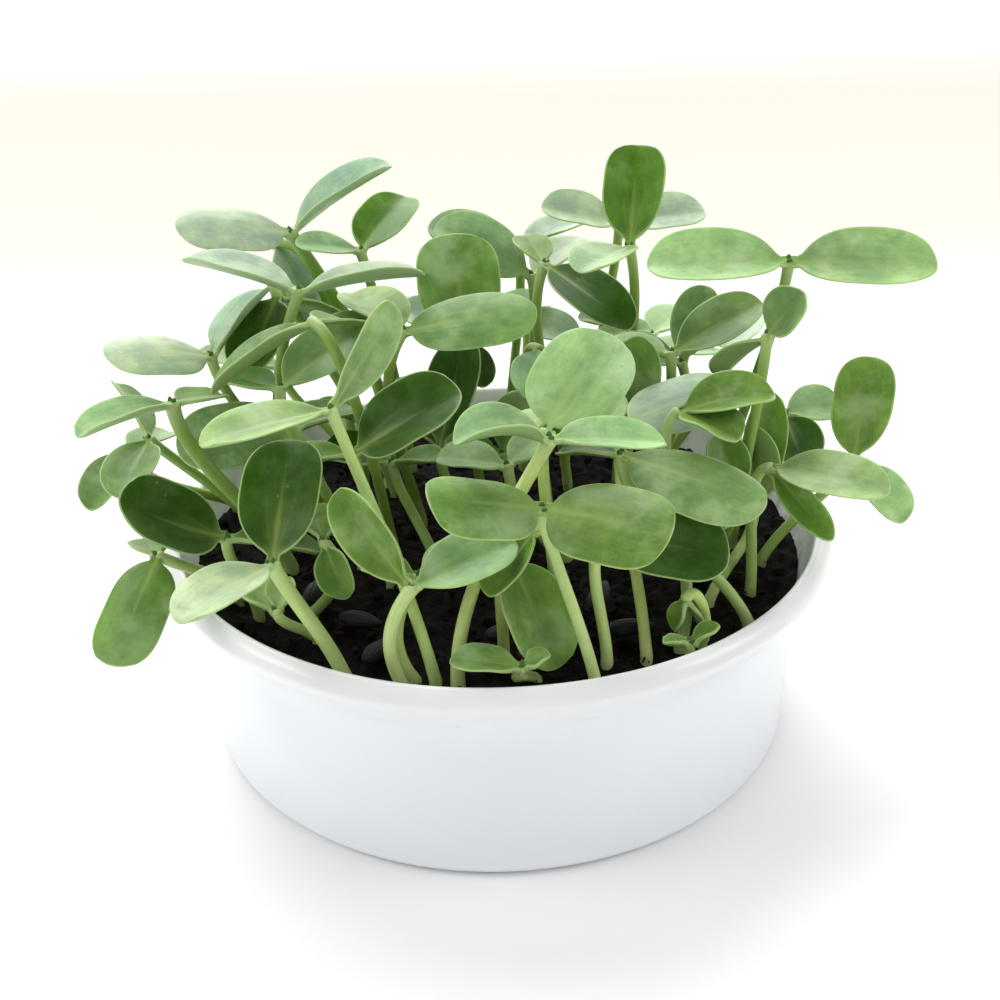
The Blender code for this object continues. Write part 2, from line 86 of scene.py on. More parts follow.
# Seedlings, in millimetres and shares
ROOT_DEPTH = 7.0
STEM_THICK = 2.8
STALK_SHARE = 0.05
BASE_OUT = 0.5
STALK_HALF_WIDTH = 1.3
TIP_BLUNTNESS = 0.06
WIDEST_LATER = 1.08
SQUARENESS, BLUNT_SQUARENESS = 2.2, 1.3
TAPERING, BLUNT_TAPERING = 0.2, 0.25
CUP_POWER = 1.6
LOWER_SHARE, UPPER_SHARE = 0.35, 0.3
LOWER_UPRIGHT, UPPER_UPRIGHT = 0.6, 0.8

# Least distances between the middles of neighbours, in millimetres
BLADE_TO_BLADE = 1.8
BLADE_TO_STEM = 2.9
STEM_TO_STEM = 4.0
BLADE_TO_BOWL = 1.6
STEM_TO_BOWL = 2.6

# Bowl's moulding: arcs and the open middle of its ends in millimetres, and swelling as a share
CORNER_RADIUS = 2.4
AXIS_RADIUS = 0.05
WOBBLE, FINE_WOBBLE = 0.0012, 0.0008

# Relief of a blade, in millimetres; a share is of its half width
EDGE_HALF_THICK = 0.18
BODY_SWELL, SWELL_WITHIN = 0.27, 0.7
STALK_SWELL, STALK_FADE = 0.55, 2.6
RIPPLE, FINE_RIPPLE = 0.20, 0.12
GROOVE_DEPTH, GROOVE_REACH = 0.26, 0.9
SIDE_GROOVE_DEPTH, SIDE_GROOVE_REACH, SIDE_GROOVE_SHARE = 0.10, 0.8, 0.45
RIB_DEPTH, RIB_REACH = 0.30, 0.8
FOLD = 0.7
EDGE_BULGE = 0.14
NO_MARGIN = 9.0  # of points that aren't on a blade

# Swelling of a stem at its foot and head, as shares of its thickness and of its length
STEM_WAIST = 0.94
FOOT_SWELL, FOOT_FADE = 0.10, 0.05
HEAD_SWELL, HEAD_FADE = 0.14, 0.04

# Bud, in millimetres, with its flatness and lean as shares
BUD_LENGTH = 1.9
BUD_HALF_WIDTH = 0.75
BUD_FLATNESS = 0.55
BUD_LEAN = 0.30
BUD_APART = 0.35

# Crumbled soil, in millimetres: (radius, height) down its side, then its clods and crumbs
SOIL_SIDE = [
    (SOIL_RADIUS + 3.0, RIM_HEIGHT - 10.5),
    (SOIL_RADIUS + 1.1, RIM_HEIGHT - 15),
    (SOIL_RADIUS, FLOOR_THICK + 3),
]
CLOD_SIZE = 4.5
CLOD_HEIGHT = 1.5
CRUMB_SIZE, LARGEST_CRUMB = 0.45, 2.0
CRUMB_SPREAD = 0.55

# Seed hulls, in millimetres, degrees and shares; each row is a hull's x, y, heading and tilt
HULL_SIZE = (11.0, 5.5, 3.8)
HULL_NARROWING = 0.45
HULL_LIFT = 0.4
HULL_RIDGE, HULL_FINE_RIDGE = 0.045, 0.02
HULLS = [(-32, -44, -20, 0), (2, -50, 20, 0), (24, -37, 70, 10), (-4, -20, 30, 0)]

# Hulls that only this scene shows, past the part's limit of nodes
MORE_HULLS = [(-27, -56, 60, 0), (16, -50, -50, 0), (30, -50, 10, 0), (-44, -30, 80, 0), (50, -22, 20, 0)]

# Fineness of the meshes
BLADE_ROWS = 34
BLADE_COLUMNS = 18
STEM_RINGS = 40
STEM_SIDES = 18
BUD_ROWS = 10
BUD_SIDES = 12
BOWL_STEPS = 192
ARC_POINTS = 5
SOIL_RING_COUNT = 90
SOIL_STEPS = 300
CRUMBS = 1500
BARK_BITS = 110
HULL_ROWS = 36
HULL_SIDES = 48

# Tones that the meshes carry, as linear colours; the first ones are of leaves
TONES = {
    "dark": (0.027, 0.082, 0.003),
    "deep": (0.060, 0.165, 0.003),
    "mid": (0.126, 0.246, 0.034),
    "olive": (0.122, 0.232, 0.036),
    "grey": (0.148, 0.260, 0.080),
    "pale": (0.280, 0.450, 0.185),
    "hazy": (0.385, 0.515, 0.340),
    "whitish": (0.430, 0.545, 0.290),
    "lime": (0.290, 0.470, 0.140),
}
BUD_TONE = (0.04, 0.13, 0.010)
SOIL_TONE = (0.0032, 0.0023, 0.0021)
CRUMB_TONE = (0.0045, 0.0031, 0.0027)
BARK_TONE = (0.034, 0.014, 0.007)
BOWL_TONE = (0.9, 0.92, 0.94)
HULL_TONE = (0.02, 0.02, 0.022)

# Stems are painted dark with shade behind the first y of their foot, in millimetres, and pale in front of
# the second
SHADED_STEM_TONE, STEM_TONE = (0.20, 0.33, 0.05), (0.46, 0.60, 0.21)
SHADED_BEHIND, PALE_BEFORE = -10, -60

# Other colours of the materials
LEAF_SHADE, LEAF_LIGHT = (0.74, 0.80, 0.84), (1.20, 1.17, 1.12)
LEAF_PAINTED_SHEEN = (0.58, 0.68, 0.54)
LEAF_VEIN = (0.42, 0.55, 0.16)
LEAF_BASE = (0.30, 0.46, 0.10)
LEAF_UNDERSIDE = (0.32, 0.44, 0.16)
LEAF_MARGIN = (0.44, 0.58, 0.24)
LEAF_SPECK = (0.30, 0.27, 0.10)
STEM_FOOT = (0.42, 0.48, 0.24)
STEM_TOP = (0.46, 0.60, 0.27)
PLASTIC_SHADE, PLASTIC_LIGHT = (0.785, 0.815, 0.855), (0.805, 0.833, 0.868)
PLASTIC_LIP_SHADED = (0.74, 0.745, 0.74)
DUST = (0.38, 0.26, 0.18)
RED_SOIL = (0.014, 0.006, 0.003)
HULL_BLACK, HULL_GREY = (0.004, 0.0035, 0.004), (0.016, 0.015, 0.017)
FLOOR_SHADE, FLOOR_LIGHT = (0.91, 0.91, 0.91), (0.93, 0.93, 0.93)
FLOOR_CREAM = (0.75, 0.70, 0.63)

# Tones of two leaves, with the numbers of the seedlings that have them; the others are mid. The leaves' own
# tones vary, and the dark tone also stands for painted shade on leaves deep among the others or turned from
# the light, the hazy tone for painted haze and sheen on leaves towards the back and lying level
TONE_PAIRS = {
    "olive olive": [1], "mid pale": [2, 38, 49], "dark whitish": [3], "pale pale": [4, 6, 35, 50],
    "grey dark": [7], "pale lime": [8, 31], "dark mid": [10, 11, 20, 24, 34, 51],
    "pale mid": [13, 39, 55], "grey mid": [14, 16], "grey deep": [15], "grey grey": [17, 18, 37, 59],
    "hazy hazy": [19, 21, 22, 23, 30, 33, 58], "dark dark": [25], "grey lime": [26], "mid dark": [27],
    "pale hazy": [28], "deep pale": [29, 32], "grey pale": [36], "pale dark": [40, 44],
    "hazy pale": [41, 43, 52], "lime lime": [47],
}
LEAF_TONES = {number: pair.split() for pair, numbers in TONE_PAIRS.items() for number in numbers}

# Light: the world brightens towards the back; each lamp has its kind, place, aim and settings
WORLD_TINT = (1.0, 0.995, 0.985, 1)
WORLD_RISE = (0.60, 0.92)
WORLD_STRENGTH = (0.54, 2.9)
LIGHTS = {
    "window": ("SUN", (-0.28, 0.85, 1.15), (0, 0, 0.06), {"energy": 2.05, "angle": 0.75}),
    "left": ("AREA", (-1.10, -0.15, 0.85), (0, 0, 0.05), {"energy": 5.9, "size": 0.7, "shape": "DISK"}),
    "right": ("AREA", (1.10, -0.15, 0.85), (0, 0, 0.05), {"energy": 4.6, "size": 0.7, "shape": "DISK"}),
    "front": ("AREA", (0, -1.60, 0.22), (0, 0, 0.05), {"energy": 2.6, "size": 0.8, "shape": "DISK"}),
}

# Floor, in metres: its four corners, and how far back it turns cream and white again
FLOOR_CORNERS = [(-6, -5, 0), (6, -5, 0), (6, 8, 0), (-6, 8, 0)]
CREAM_RISES, CREAM_FADES = (0.22, 0.44), (0.80, 1.25)

# Camera, in metres
TARGET = Vector((0.001, 0, 0.058))
CAMERA_DISTANCE = 0.358
CAMERA_RISE = math.radians(26.9)
CAMERA_ROLL = math.radians(-1.3)

# heading, pitch, roll and curl in degrees; length, width and cup in millimetres; blunt from 0 for
# a drawn-out tip to 1 for a square one
Leaf = namedtuple("Leaf", "heading pitch roll length width curl cup blunt", defaults=[15, 2, 0])
Seedling = namedtuple("Seedling", "foot head leaves thick bow")


def seedling(foot, head, first, second, thick=STEM_THICK, bow=(0, 0)):
    """A seedling's plan, with its two leaves."""
    return Seedling(foot, head, [Leaf(*first), Leaf(*second)], thick, bow)


# foot (x, y), head (x, y, z), two leaves, the stem's thickness and its bow (x, y), in millimetres
SEEDLINGS = [
    # in front, over the near rim
    ((21, -70), (10, -58, 85), (-150, 19, -30, 28, 16, 10, -2, 1), (-30, 2, 32, 29, 19, 20, -2, 1)),
    ((-20, -70), (-18, -68, 72), (135, 34, -55, 27, 11, 10, 3), (28, 10, 25, 25, 13), 3.1, (-5, 0)),
    ((-34, -64), (-48, -60, 74), (85, 34, 0, 31, 18, 10, 2, 0.4), (-125, 0, 0, 27, 15), 3.5),
    ((-9, -68), (12, -47, 96), (-160, 8, 0, 22, 14, 50, 4), (12, -8, 10, 26, 12, 8, 2, 0.4), 3.2, (-6, 3)),
    ((1, -56), (3, -53, 71), (-58, -50, 0, 26, 16, 10, 2, 0.5), (100, -10, 0, 12, 8, 15, 1)),
    ((-14, -66), (-36, -35, 99), (-150, -2, -5, 30, 14, 10, 2), (60, 32, 60, 31, 10, 10, 3)),
    ((58, -45), (29, -30, 84), (-30, -9, 18, 35, 19, 15, -2, 0.3), (150, -10, 0, 16, 11, 20, 2)),
    ((14, -38), (11, -36, 93), (52, 30, 20, 30, 22, 10, -1, 0.5), (110, -10, 0, 20, 13, 15, 1)),
    ((14, -56), (9, -54, 78), (-130, -33, 0, 18, 11), (60, -30, 0, 14, 10, 15, 1)),
    ((24, -60), (24, -45, 71), (-8, -8, 35, 28, 18, 15, 2, 0.5), (100, 0, 0, 16, 11, 15, 1)),
    # left side
    ((-57, -36), (-62, -38, 69), (-150, 36, -45, 28, 17, -35, 3, 0.4), (20, -22, 0, 24, 12)),
    ((-63, -28), (-76, -46, 69), (-100, -20, -10, 30, 14, 20, -1.5, 0.8), (120, -5, 0, 12, 9, 15, 1)),
    ((-52, -14), (-76, -15, 93), (-130, 2, 0, 26, 11, 15, 3), (50, -10, 0, 15, 12, 15, 1), 3.7),
    ((-42, 4), (-50, 0, 79), (-165, -3, -50, 29, 17, 15, 2, 0.5), (60, -10, 0, 27, 16)),
    ((-34, -14), (-52, -5, 92), (40, 18, 15, 32, 17, 15, 2, 0.5), (150, 0, 0, 18, 12, 15, 1)),
    ((-26, -8), (-42, -10, 111), (-168, -37, 10, 29, 14, 15, 3), (60, -20, 0, 18, 12, 15, 1)),
    ((-62, 4), (-88, 5, 75), (-100, -15, 0, 22, 14), (125, 24, 40, 22, 10)),
    ((-71, 20), (-96, 18, 66), (-110, -25, 0, 20, 12), (60, -5, 0, 16, 12, 15, 1)),
    ((-46, 14), (-71, 10, 95), (-142, 15, -20, 28, 16, 30, -1.5, 0.4), (55, 27, -20, 25, 13, 15, 3)),
    ((-28, 26), (-56, 30, 104), (-110, -36, 0, 24, 16, 15, 2, 0.5), (50, -35, 0, 24, 16)),
    ((-50, -4), (-47, 5, 114), (168, 13, 5, 30, 15, 10, 3), (15, 2, -10, 31, 15, 15, 3)),
    ((-30, 32), (-53, 35, 121), (-150, 12, -30, 31, 16, 25, -1.5, 0.4), (15, 29, 5, 32, 14, 15, 4), 3.6),
    ((-40, 46), (-60, 56, 111), (-30, -40, 0, 25, 16, 15, 1), (150, 0, 0, 20, 14, 15, 1)),
    # middle
    ((-26, -24), (-33, -18, 80), (12, 55, 30, 29, 19, 15, 3, 0.4), (-170, -5, 0, 20, 12)),
    ((-8, 5), (-14, 0, 72), (72, 45, 0, 32, 14), (110, 25, 0, 27, 14)),
    ((-20, 10), (-22, 5, 102), (5, 7, 28, 33, 17, 15, -1.5, 0.7), (135, -20, 0, 28, 16)),
    ((-4, 24), (-8, 26, 92), (95, 55, 0, 29, 22, 15, 2, 0.5), (-60, -30, 0, 14, 10, 15, 1)),
    ((8, 42), (11, 45, 103), (-168, 28, -45, 29, 16, 25, 2), (50, 15, 0, 22, 13, 15, 1)),
    ((-24, 42), (-35, 45, 111), (62, 20, 10, 26, 15, 15, 2, 0.6), (-165, 15, -20, 18, 10, 15, 1)),
    ((4, 64), (8, 66, 105), (-175, 15, -40, 26, 14), (30, 10, 0, 24, 14)),
    ((14, 16), (12, 18, 92), (-100, -15, 0, 20, 11), (20, -45, 0, 22, 14)),
    # right side
    ((34, 32), (36, 30, 115), (80, 45, 0, 30, 16, 10, 3, 0.5), (-120, 3, 0, 28, 15)),
    ((26, 56), (36, 60, 113), (-165, 16, -30, 23, 14), (8, 4, 30, 24, 14)),
    ((20, 30), (14, 33, 110), (-48, -18, 15, 32, 15), (110, 0, 0, 15, 10, 15, 1)),
    ((56, 4), (72, 5, 118), (-176, 1, -30, 34, 17, 10, 3, 0.3), (-12, 1, 40, 34, 16, 10, 3, 0.3)),
    ((44, 12), (45, 10, 93), (25, 20, 30, 28, 13), (150, -5, 0, 20, 13)),
    ((60, -8), (66, -5, 103), (-30, 55, 60, 14, 12), (110, -45, 0, 20, 14)),
    ((66, -16), (90, -5, 69), (70, 48, 0, 28, 15, 15, 2, 0.5), (-70, -18, 0, 22, 13)),
    ((61, -30), (66, -20, 75), (-37, 3, 20, 29, 14, 15, 2, 0.4), (-56, -26, 45, 23, 7.5)),
    ((62, 18), (75, 12, 75), (20, 0, 30, 17, 12), (-80, -25, 10, 18, 14)),
    ((33, -58), (31, -15, 85), (30, 14, 15, 30, 19, 15, -1.5, 0.5), (120, 0, 0, 22, 14)),
    ((41, -54), (43, -20, 90), (5, 8, 20, 23, 13, 25, 3), (-35, -12, 0, 16, 15, 35, 2, 0.8)),
    # behind
    ((50, 44), (66, 52, 77), (70, 5, 0, 28, 16, 15, 1), (-160, 10, 0, 25, 15, 15, 1)),
    ((38, 60), (48, 78, 73), (60, 0, 0, 30, 16, 15, 1), (-160, 20, 0, 25, 15, 15, 1)),
    ((8, 71), (10, 88, 76), (100, -5, 0, 29, 16, 15, 1), (-90, 25, 0, 24, 15, 15, 1)),
    ((-44, 54), (-62, 64, 70), (160, 5, 0, 29, 16, 15, 1), (0, 15, 0, 24, 15, 15, 1)),
    # late ones, low among the stems
    ((-42, -48), (-50, -50, 56), (140, 10, 0, 11, 8), (80, 30, 0, 9, 7), 2.6),
    ((8, -66), (5, -69, 53), (176, 6, 0, 15, 11, 20, 1), (10, 25, 0, 6, 6, 15, 1), 2.6),
    # in the gaps
    ((50, -36), (66, -12, 62), (60, 72, 20, 28, 11), (-160, 62, 0, 21, 13, 15, 2, 0.4)),
    ((4, -30), (3, -16, 75), (172, 5, -10, 17, 12), (40, 20, 0, 15, 11, 15, 1)),
    ((-14, -20), (-26, -2, 70), (158, 5, -20, 19, 12), (-30, 15, 0, 15, 10)),
    ((20, 44), (26, 44, 84), (153, 10, -25, 20, 12), (-15, 15, 10, 18, 11)),
]

# Sprouts and low leaves that only this scene shows, deep among the stems
SPROUTS = [
    ((46, -53), (42, -51, 58.5), (-160, -70, 0, 8, 6, 10, 1), (20, -70, 0, 8, 6, 10, 1)),
    ((42, -60), (42, -58, 51), (20, 12, 0, 7, 5, 15, 1), (-170, 12, 0, 6, 4, 15, 1), 2.0),
    ((-18.5, -65.5), (-17, -60, 70), (30, 20, 0, 14, 9), (-170, 10, 0, 12, 9), STEM_THICK, (-3, 0)),
    ((-44, -36), (-40, -30, 63), (-60, -40, 40, 14, 9), (110, 10, 0, 14, 9)),
    ((30, -8), (36, 2, 80), (100, 60, 0, 20, 12), (-70, 0, 0, 14, 11)),
    ((-10, 50), (-6, 52, 84), (175, 20, -20, 22, 14), (10, 25, 10, 22, 14)),
    ((44, 28), (50, 26, 84), (170, 25, -20, 20, 13), (60, 50, 10, 22, 12)),
    ((-36, 24), (-36, 22, 72), (150, 20, 0, 14, 9), (-20, 20, 0, 14, 9)),
    ((6, 8), (2, 6, 68), (-160, 10, 0, 18, 12), (60, 20, 0, 18, 12)),
    ((54, -16), (58, -18, 66), (-100, -5, 0, 15, 10), (90, 30, 0, 16, 11)),
]


def unit(vector):
    """The vector at length 1."""
    return vector / np.linalg.norm(vector)


def direction(heading, pitch):
    """Unit vector at a heading from +X and a pitch above level, both in degrees."""
    heading, pitch = math.radians(heading), math.radians(pitch)
    level = math.cos(pitch)
    return np.array([level * math.cos(heading), level * math.sin(heading), math.sin(pitch)])


def blade_points(base, leaf, along, across):
    """Middle surface of a blade: along runs 0 to 1 from base to tip, across -1 to 1 from side to side."""
    blunt = TIP_BLUNTNESS * along ** 6
    grown = np.clip((along * (1 - blunt) - STALK_SHARE) / (1 - STALK_SHARE), 0, 1)
    squareness = SQUARENESS + BLUNT_SQUARENESS * leaf.blunt
    tapering = (TAPERING - BLUNT_TAPERING * leaf.blunt) * (1 - grown) ** 3
    outline = (1 - np.abs(2 * grown ** WIDEST_LATER - 1) ** squareness) ** (0.5 + tapering)
    half = np.maximum(STALK_HALF_WIDTH, leaf.width / 2 * outline)
    along = along * (1 - blunt * across ** 2)
    bend = math.radians(leaf.curl)
    angle = bend * (0.5 - along)
    forward = leaf.length * (math.sin(bend / 2) - np.sin(angle)) / bend
    rise = leaf.length * (np.cos(angle) - math.cos(bend / 2)) / bend
    rise = rise + leaf.cup * outline * np.abs(across) ** CUP_POWER
    forward = forward + BASE_OUT
    ahead = direction(leaf.heading, leaf.pitch)
    level = direction(leaf.heading + 90, 0)
    above = np.cross(ahead, level)
    roll = math.radians(leaf.roll)
    left = level * math.cos(roll) + above * math.sin(roll)
    above = above * math.cos(roll) - level * math.sin(roll)
    return (
        np.asarray(base, float)
        + np.multiply.outer(forward, ahead)
        + np.multiply.outer(half * across, left)
        + np.multiply.outer(rise, above)
    )


def stem_points(foot, head, bow, leaves, count):
    """Points along a stem, from the soil to its junction with the leaves, and its axis there."""
    foot = np.array([*foot, SOIL_HEIGHT])
    head = np.asarray(head, float)
    reach = np.linalg.norm(head - foot)
    axis = unit(sum(direction(leaf.heading, leaf.pitch) for leaf in leaves) + [0, 0, UPPER_UPRIGHT])
    bow = np.array([*bow, 0.0])
    lower = foot + LOWER_SHARE * reach * unit(unit(head - foot) + [0, 0, LOWER_UPRIGHT]) + bow
    upper = head - UPPER_SHARE * reach * axis + bow
    share = np.linspace(0, 1, count)[:, None]
    rest = 1 - share
    curve = rest ** 3 * foot + 3 * rest ** 2 * share * lower
    curve = curve + 3 * rest * share ** 2 * upper + share ** 3 * head
    return curve, axis


def bowl_profile():
    """(radius, height) from the middle of the inside floor, up and over the lip, down to the base."""
    inner = WALL_RADIUS - WALL_THICK
    return [
        (0, FLOOR_THICK),
        (inner - 2.5, FLOOR_THICK),
        (inner, FLOOR_THICK + 2.5),
        (inner + 1.2, RIM_HEIGHT - 15),
        (inner + 3.2, RIM_HEIGHT - 9.5),
        (LIP_RADIUS - 1.4, RIM_HEIGHT - 4),
        (LIP_RADIUS - 0.4, RIM_HEIGHT - 0.4),
        (LIP_RADIUS + 0.8, RIM_HEIGHT),
        (RIM_RADIUS - 1.2, RIM_HEIGHT - 1.2),
        (RIM_RADIUS, RIM_HEIGHT - 3.6),
        (RIM_RADIUS - 0.5, RIM_HEIGHT - 5.2),
        (WALL_RADIUS + 5.6, RIM_HEIGHT - 8.5),
        (WALL_RADIUS + 2.8, RIM_HEIGHT - 12.5),
        (WALL_RADIUS + 1.2, RIM_HEIGHT - 18),
        (WALL_RADIUS, 2.2),
        (WALL_RADIUS - 1.8, 0),
        (0, 0),
    ]


def bowl_samples():
    """Points close together round the bowl's section."""
    corners = np.array(bowl_profile(), float)
    share = np.linspace(0, 1, 60)[:, None, None]
    return (corners[:-1] * (1 - share) + corners[1:] * share).reshape(-1, 2)


class Bed:
    """What is planted so far, and how far a new stem or blade would reach into it."""

    def __init__(self):
        self.blades, self.stems = [], []
        self.blade_tree = self.stem_tree = None
        self.bowl = bowl_samples()

    def add(self, blades, stem):
        self.blades.extend(blades)
        self.stems.extend(stem)
        self.blade_tree = tree_of(self.blades)
        self.stem_tree = tree_of(self.stems)

    def crowding(self, points, to_blade, to_stem, to_bowl):
        """Millimetres by which the points come too close to what is planted, to the bowl or to the soil."""
        worst = 0.0
        for tree, least in ((self.blade_tree, to_blade), (self.stem_tree, to_stem)):
            if tree:
                worst = max(worst, least - min(tree.find(point)[2] for point in points))
        low = points[points[:, 2] < RIM_HEIGHT + to_bowl]
        if len(low):
            radii = np.hypot(low[:, 0], low[:, 1])
            near = np.hypot(radii[:, None] - self.bowl[:, 0], low[:, 2:] - self.bowl[:, 1])
            worst = max(worst, to_bowl - near.min())
            inside = low[radii < LIP_RADIUS]
            if len(inside) and to_bowl == BLADE_TO_BOWL:
                worst = max(worst, SOIL_HEIGHT + SOIL_UNEVEN + to_bowl - inside[:, 2].min())
        return worst


def tree_of(points):
    """A search tree of the points."""
    tree = KDTree(len(points))
    for index, point in enumerate(points):
        tree.insert(point, index)
    tree.balance()
    return tree


def blade_samples(head, leaf):
    """Points over a blade, close enough to find what it would touch."""
    along, across = np.meshgrid(np.linspace(0.1, 1, 22), np.linspace(-1, 1, 13))
    return blade_points(head, leaf, along.ravel(), across.ravel())


def tries(*steps):
    """Every combination of the steps' offsets, the smallest first."""
    grids = np.meshgrid(*steps, indexing="ij")
    offsets = np.stack([grid.ravel() for grid in grids], axis=1)
    return offsets[np.argsort(np.abs(offsets).sum(axis=1), kind="stable")]


LEAF_TRIES = tries(range(-20, 21, 5), range(-25, 26, 5))
BOW_TRIES = tries(range(-9, 10, 3), range(-9, 10, 3))
SHIFT_TRIES = tries(range(-8, 9, 2))[:, 0]
BACK_AND_DOWN = direction(90, -27)


def leaf_tries(bed, head, leaf):
    """The leaf turned and tipped, the least first, each with its crowding and its samples."""
    for turn, tip in LEAF_TRIES:
        tried = leaf._replace(heading=leaf.heading + turn, pitch=leaf.pitch + tip)
        samples = blade_samples(head, tried)
        yield bed.crowding(samples, BLADE_TO_BLADE, BLADE_TO_STEM, BLADE_TO_BOWL), tried, samples


def stem_tries(bed, plan, head, leaves):
    """The stem's bows, the least first, each with its crowding and its samples."""
    for bow in BOW_TRIES + plan.bow:
        samples, _ = stem_points(plan.foot, head, bow, leaves, 36)
        yield bed.crowding(samples, BLADE_TO_STEM, STEM_TO_STEM, STEM_TO_BOWL), bow, samples


def seedling_tries(bed, plan):
    """The seedling at each shift of its head, bent clear of its neighbours as far as it can be."""
    for shift in SHIFT_TRIES:
        head = np.asarray(plan.head, float) + shift * BACK_AND_DOWN
        bent = [clearest(leaf_tries(bed, head, leaf)) for leaf in plan.leaves]
        leaves = [tried for _, tried, _ in bent]
        stem = clearest(stem_tries(bed, plan, head, leaves))
        crowding = max(0, stem[0]) + sum(max(0, found[0]) for found in bent)
        yield crowding, plan._replace(head=head, leaves=leaves, bow=stem[1]), bent, stem


def clearest(candidates):
    """The first candidate that crowds nothing, or else the one that crowds least."""
    best = None
    for candidate in candidates:
        if best is None or candidate[0] < best[0]:
            best = candidate
        if candidate[0] <= 0:
            break
    return best


def planted(bed, plan):
    """The seedling bent clear of its neighbours, then added to the bed."""
    _, chosen, bent, stem = clearest(seedling_tries(bed, plan))
    bed.add(np.concatenate([samples for _, _, samples in bent]), stem[2])
    return chosen


class Shell:
    """Closed surfaces gathered for one mesh, each with its material, tone and growth marks."""

    def __init__(self):
        self.points, self.faces, self.materials = [], [], []
        self.growth, self.margin, self.tone = [], [], []

    def add(self, points, faces, tone, material=0, growth=None, margin=None):
        first, count = len(self.points), len(points)
        self.points.extend(map(tuple, points))
        self.faces.extend([tuple(first + corner for corner in face) for face in faces])
        self.materials.extend([material] * len(faces))
        self.growth.append(np.zeros((count, 3)) if growth is None else growth)
        self.margin.append(np.full(count, NO_MARGIN) if margin is None else margin)
        self.tone.append(np.tile([*tone, 1.0], (count, 1)))

    def make_piece(self, name, materials, node):
        """The mesh as a piece on the part's one body, standing for a CAD node if one is named."""
        mesh = bpy.data.meshes.new(name)
        mesh.from_pydata([(x * MM, y * MM, z * MM) for x, y, z in self.points], [], self.faces)
        for material in materials:
            mesh.materials.append(material)
        mesh.polygons.foreach_set("material_index", self.materials)
        for label, kind, field, values in (
            ("growth", "FLOAT_VECTOR", "vector", self.growth),
            ("margin", "FLOAT", "value", self.margin),
            ("tone", "FLOAT_COLOR", "color", self.tone),
        ):
            marks = mesh.attributes.new(label, kind, "POINT")
            marks.data.foreach_set(field, np.concatenate(values).astype(np.float32).ravel())
        bm = bmesh.new()
        bm.from_mesh(mesh)
        bmesh.ops.recalc_face_normals(bm, faces=bm.faces)
        bm.to_mesh(mesh)
        bm.free()
        mesh.shade_smooth()
        piece = bpy.data.objects.new(name, mesh)
        bpy.context.scene.collection.objects.link(piece)
        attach(piece, "root")
        if node:
            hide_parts(node)


def grid_faces(rows, columns, wrapped=False):
    """Quads over a grid of rows by columns of points, joined round the columns if wrapped."""
    faces = []
    for row in range(rows - 1):
        here, there = row * columns, (row + 1) * columns
        for column in range(columns if wrapped else columns - 1):
            beside = (column + 1) % columns
            faces.append((here + column, there + column, there + beside, here + beside))
    return faces


def capped(rings, sides):
    """Faces of a tube of rings, with both ends closed."""
    last = (rings - 1) * sides
    ends = [tuple(range(sides)), tuple(range(last + sides - 1, last - 1, -1))]
    return grid_faces(rings, sides, wrapped=True) + ends


def tube(points, radii, sides):
    """Rings round a curve, carried along it without twisting."""
    points = np.asarray(points, float)
    tangents = np.gradient(points, axis=0)
    tangents /= np.linalg.norm(tangents, axis=1)[:, None]
    aside = np.cross(tangents[0], [0.3, 1.0, 0.2])
    turns = np.linspace(0, 2 * math.pi, sides, endpoint=False)
    rings = []
    for point, tangent, radius in zip(points, tangents, radii):
        aside = unit(aside - tangent * aside.dot(tangent))
        across = np.cross(tangent, aside)
        rings.append(point + radius * (np.outer(np.cos(turns), aside) + np.outer(np.sin(turns), across)))
    return np.concatenate(rings)


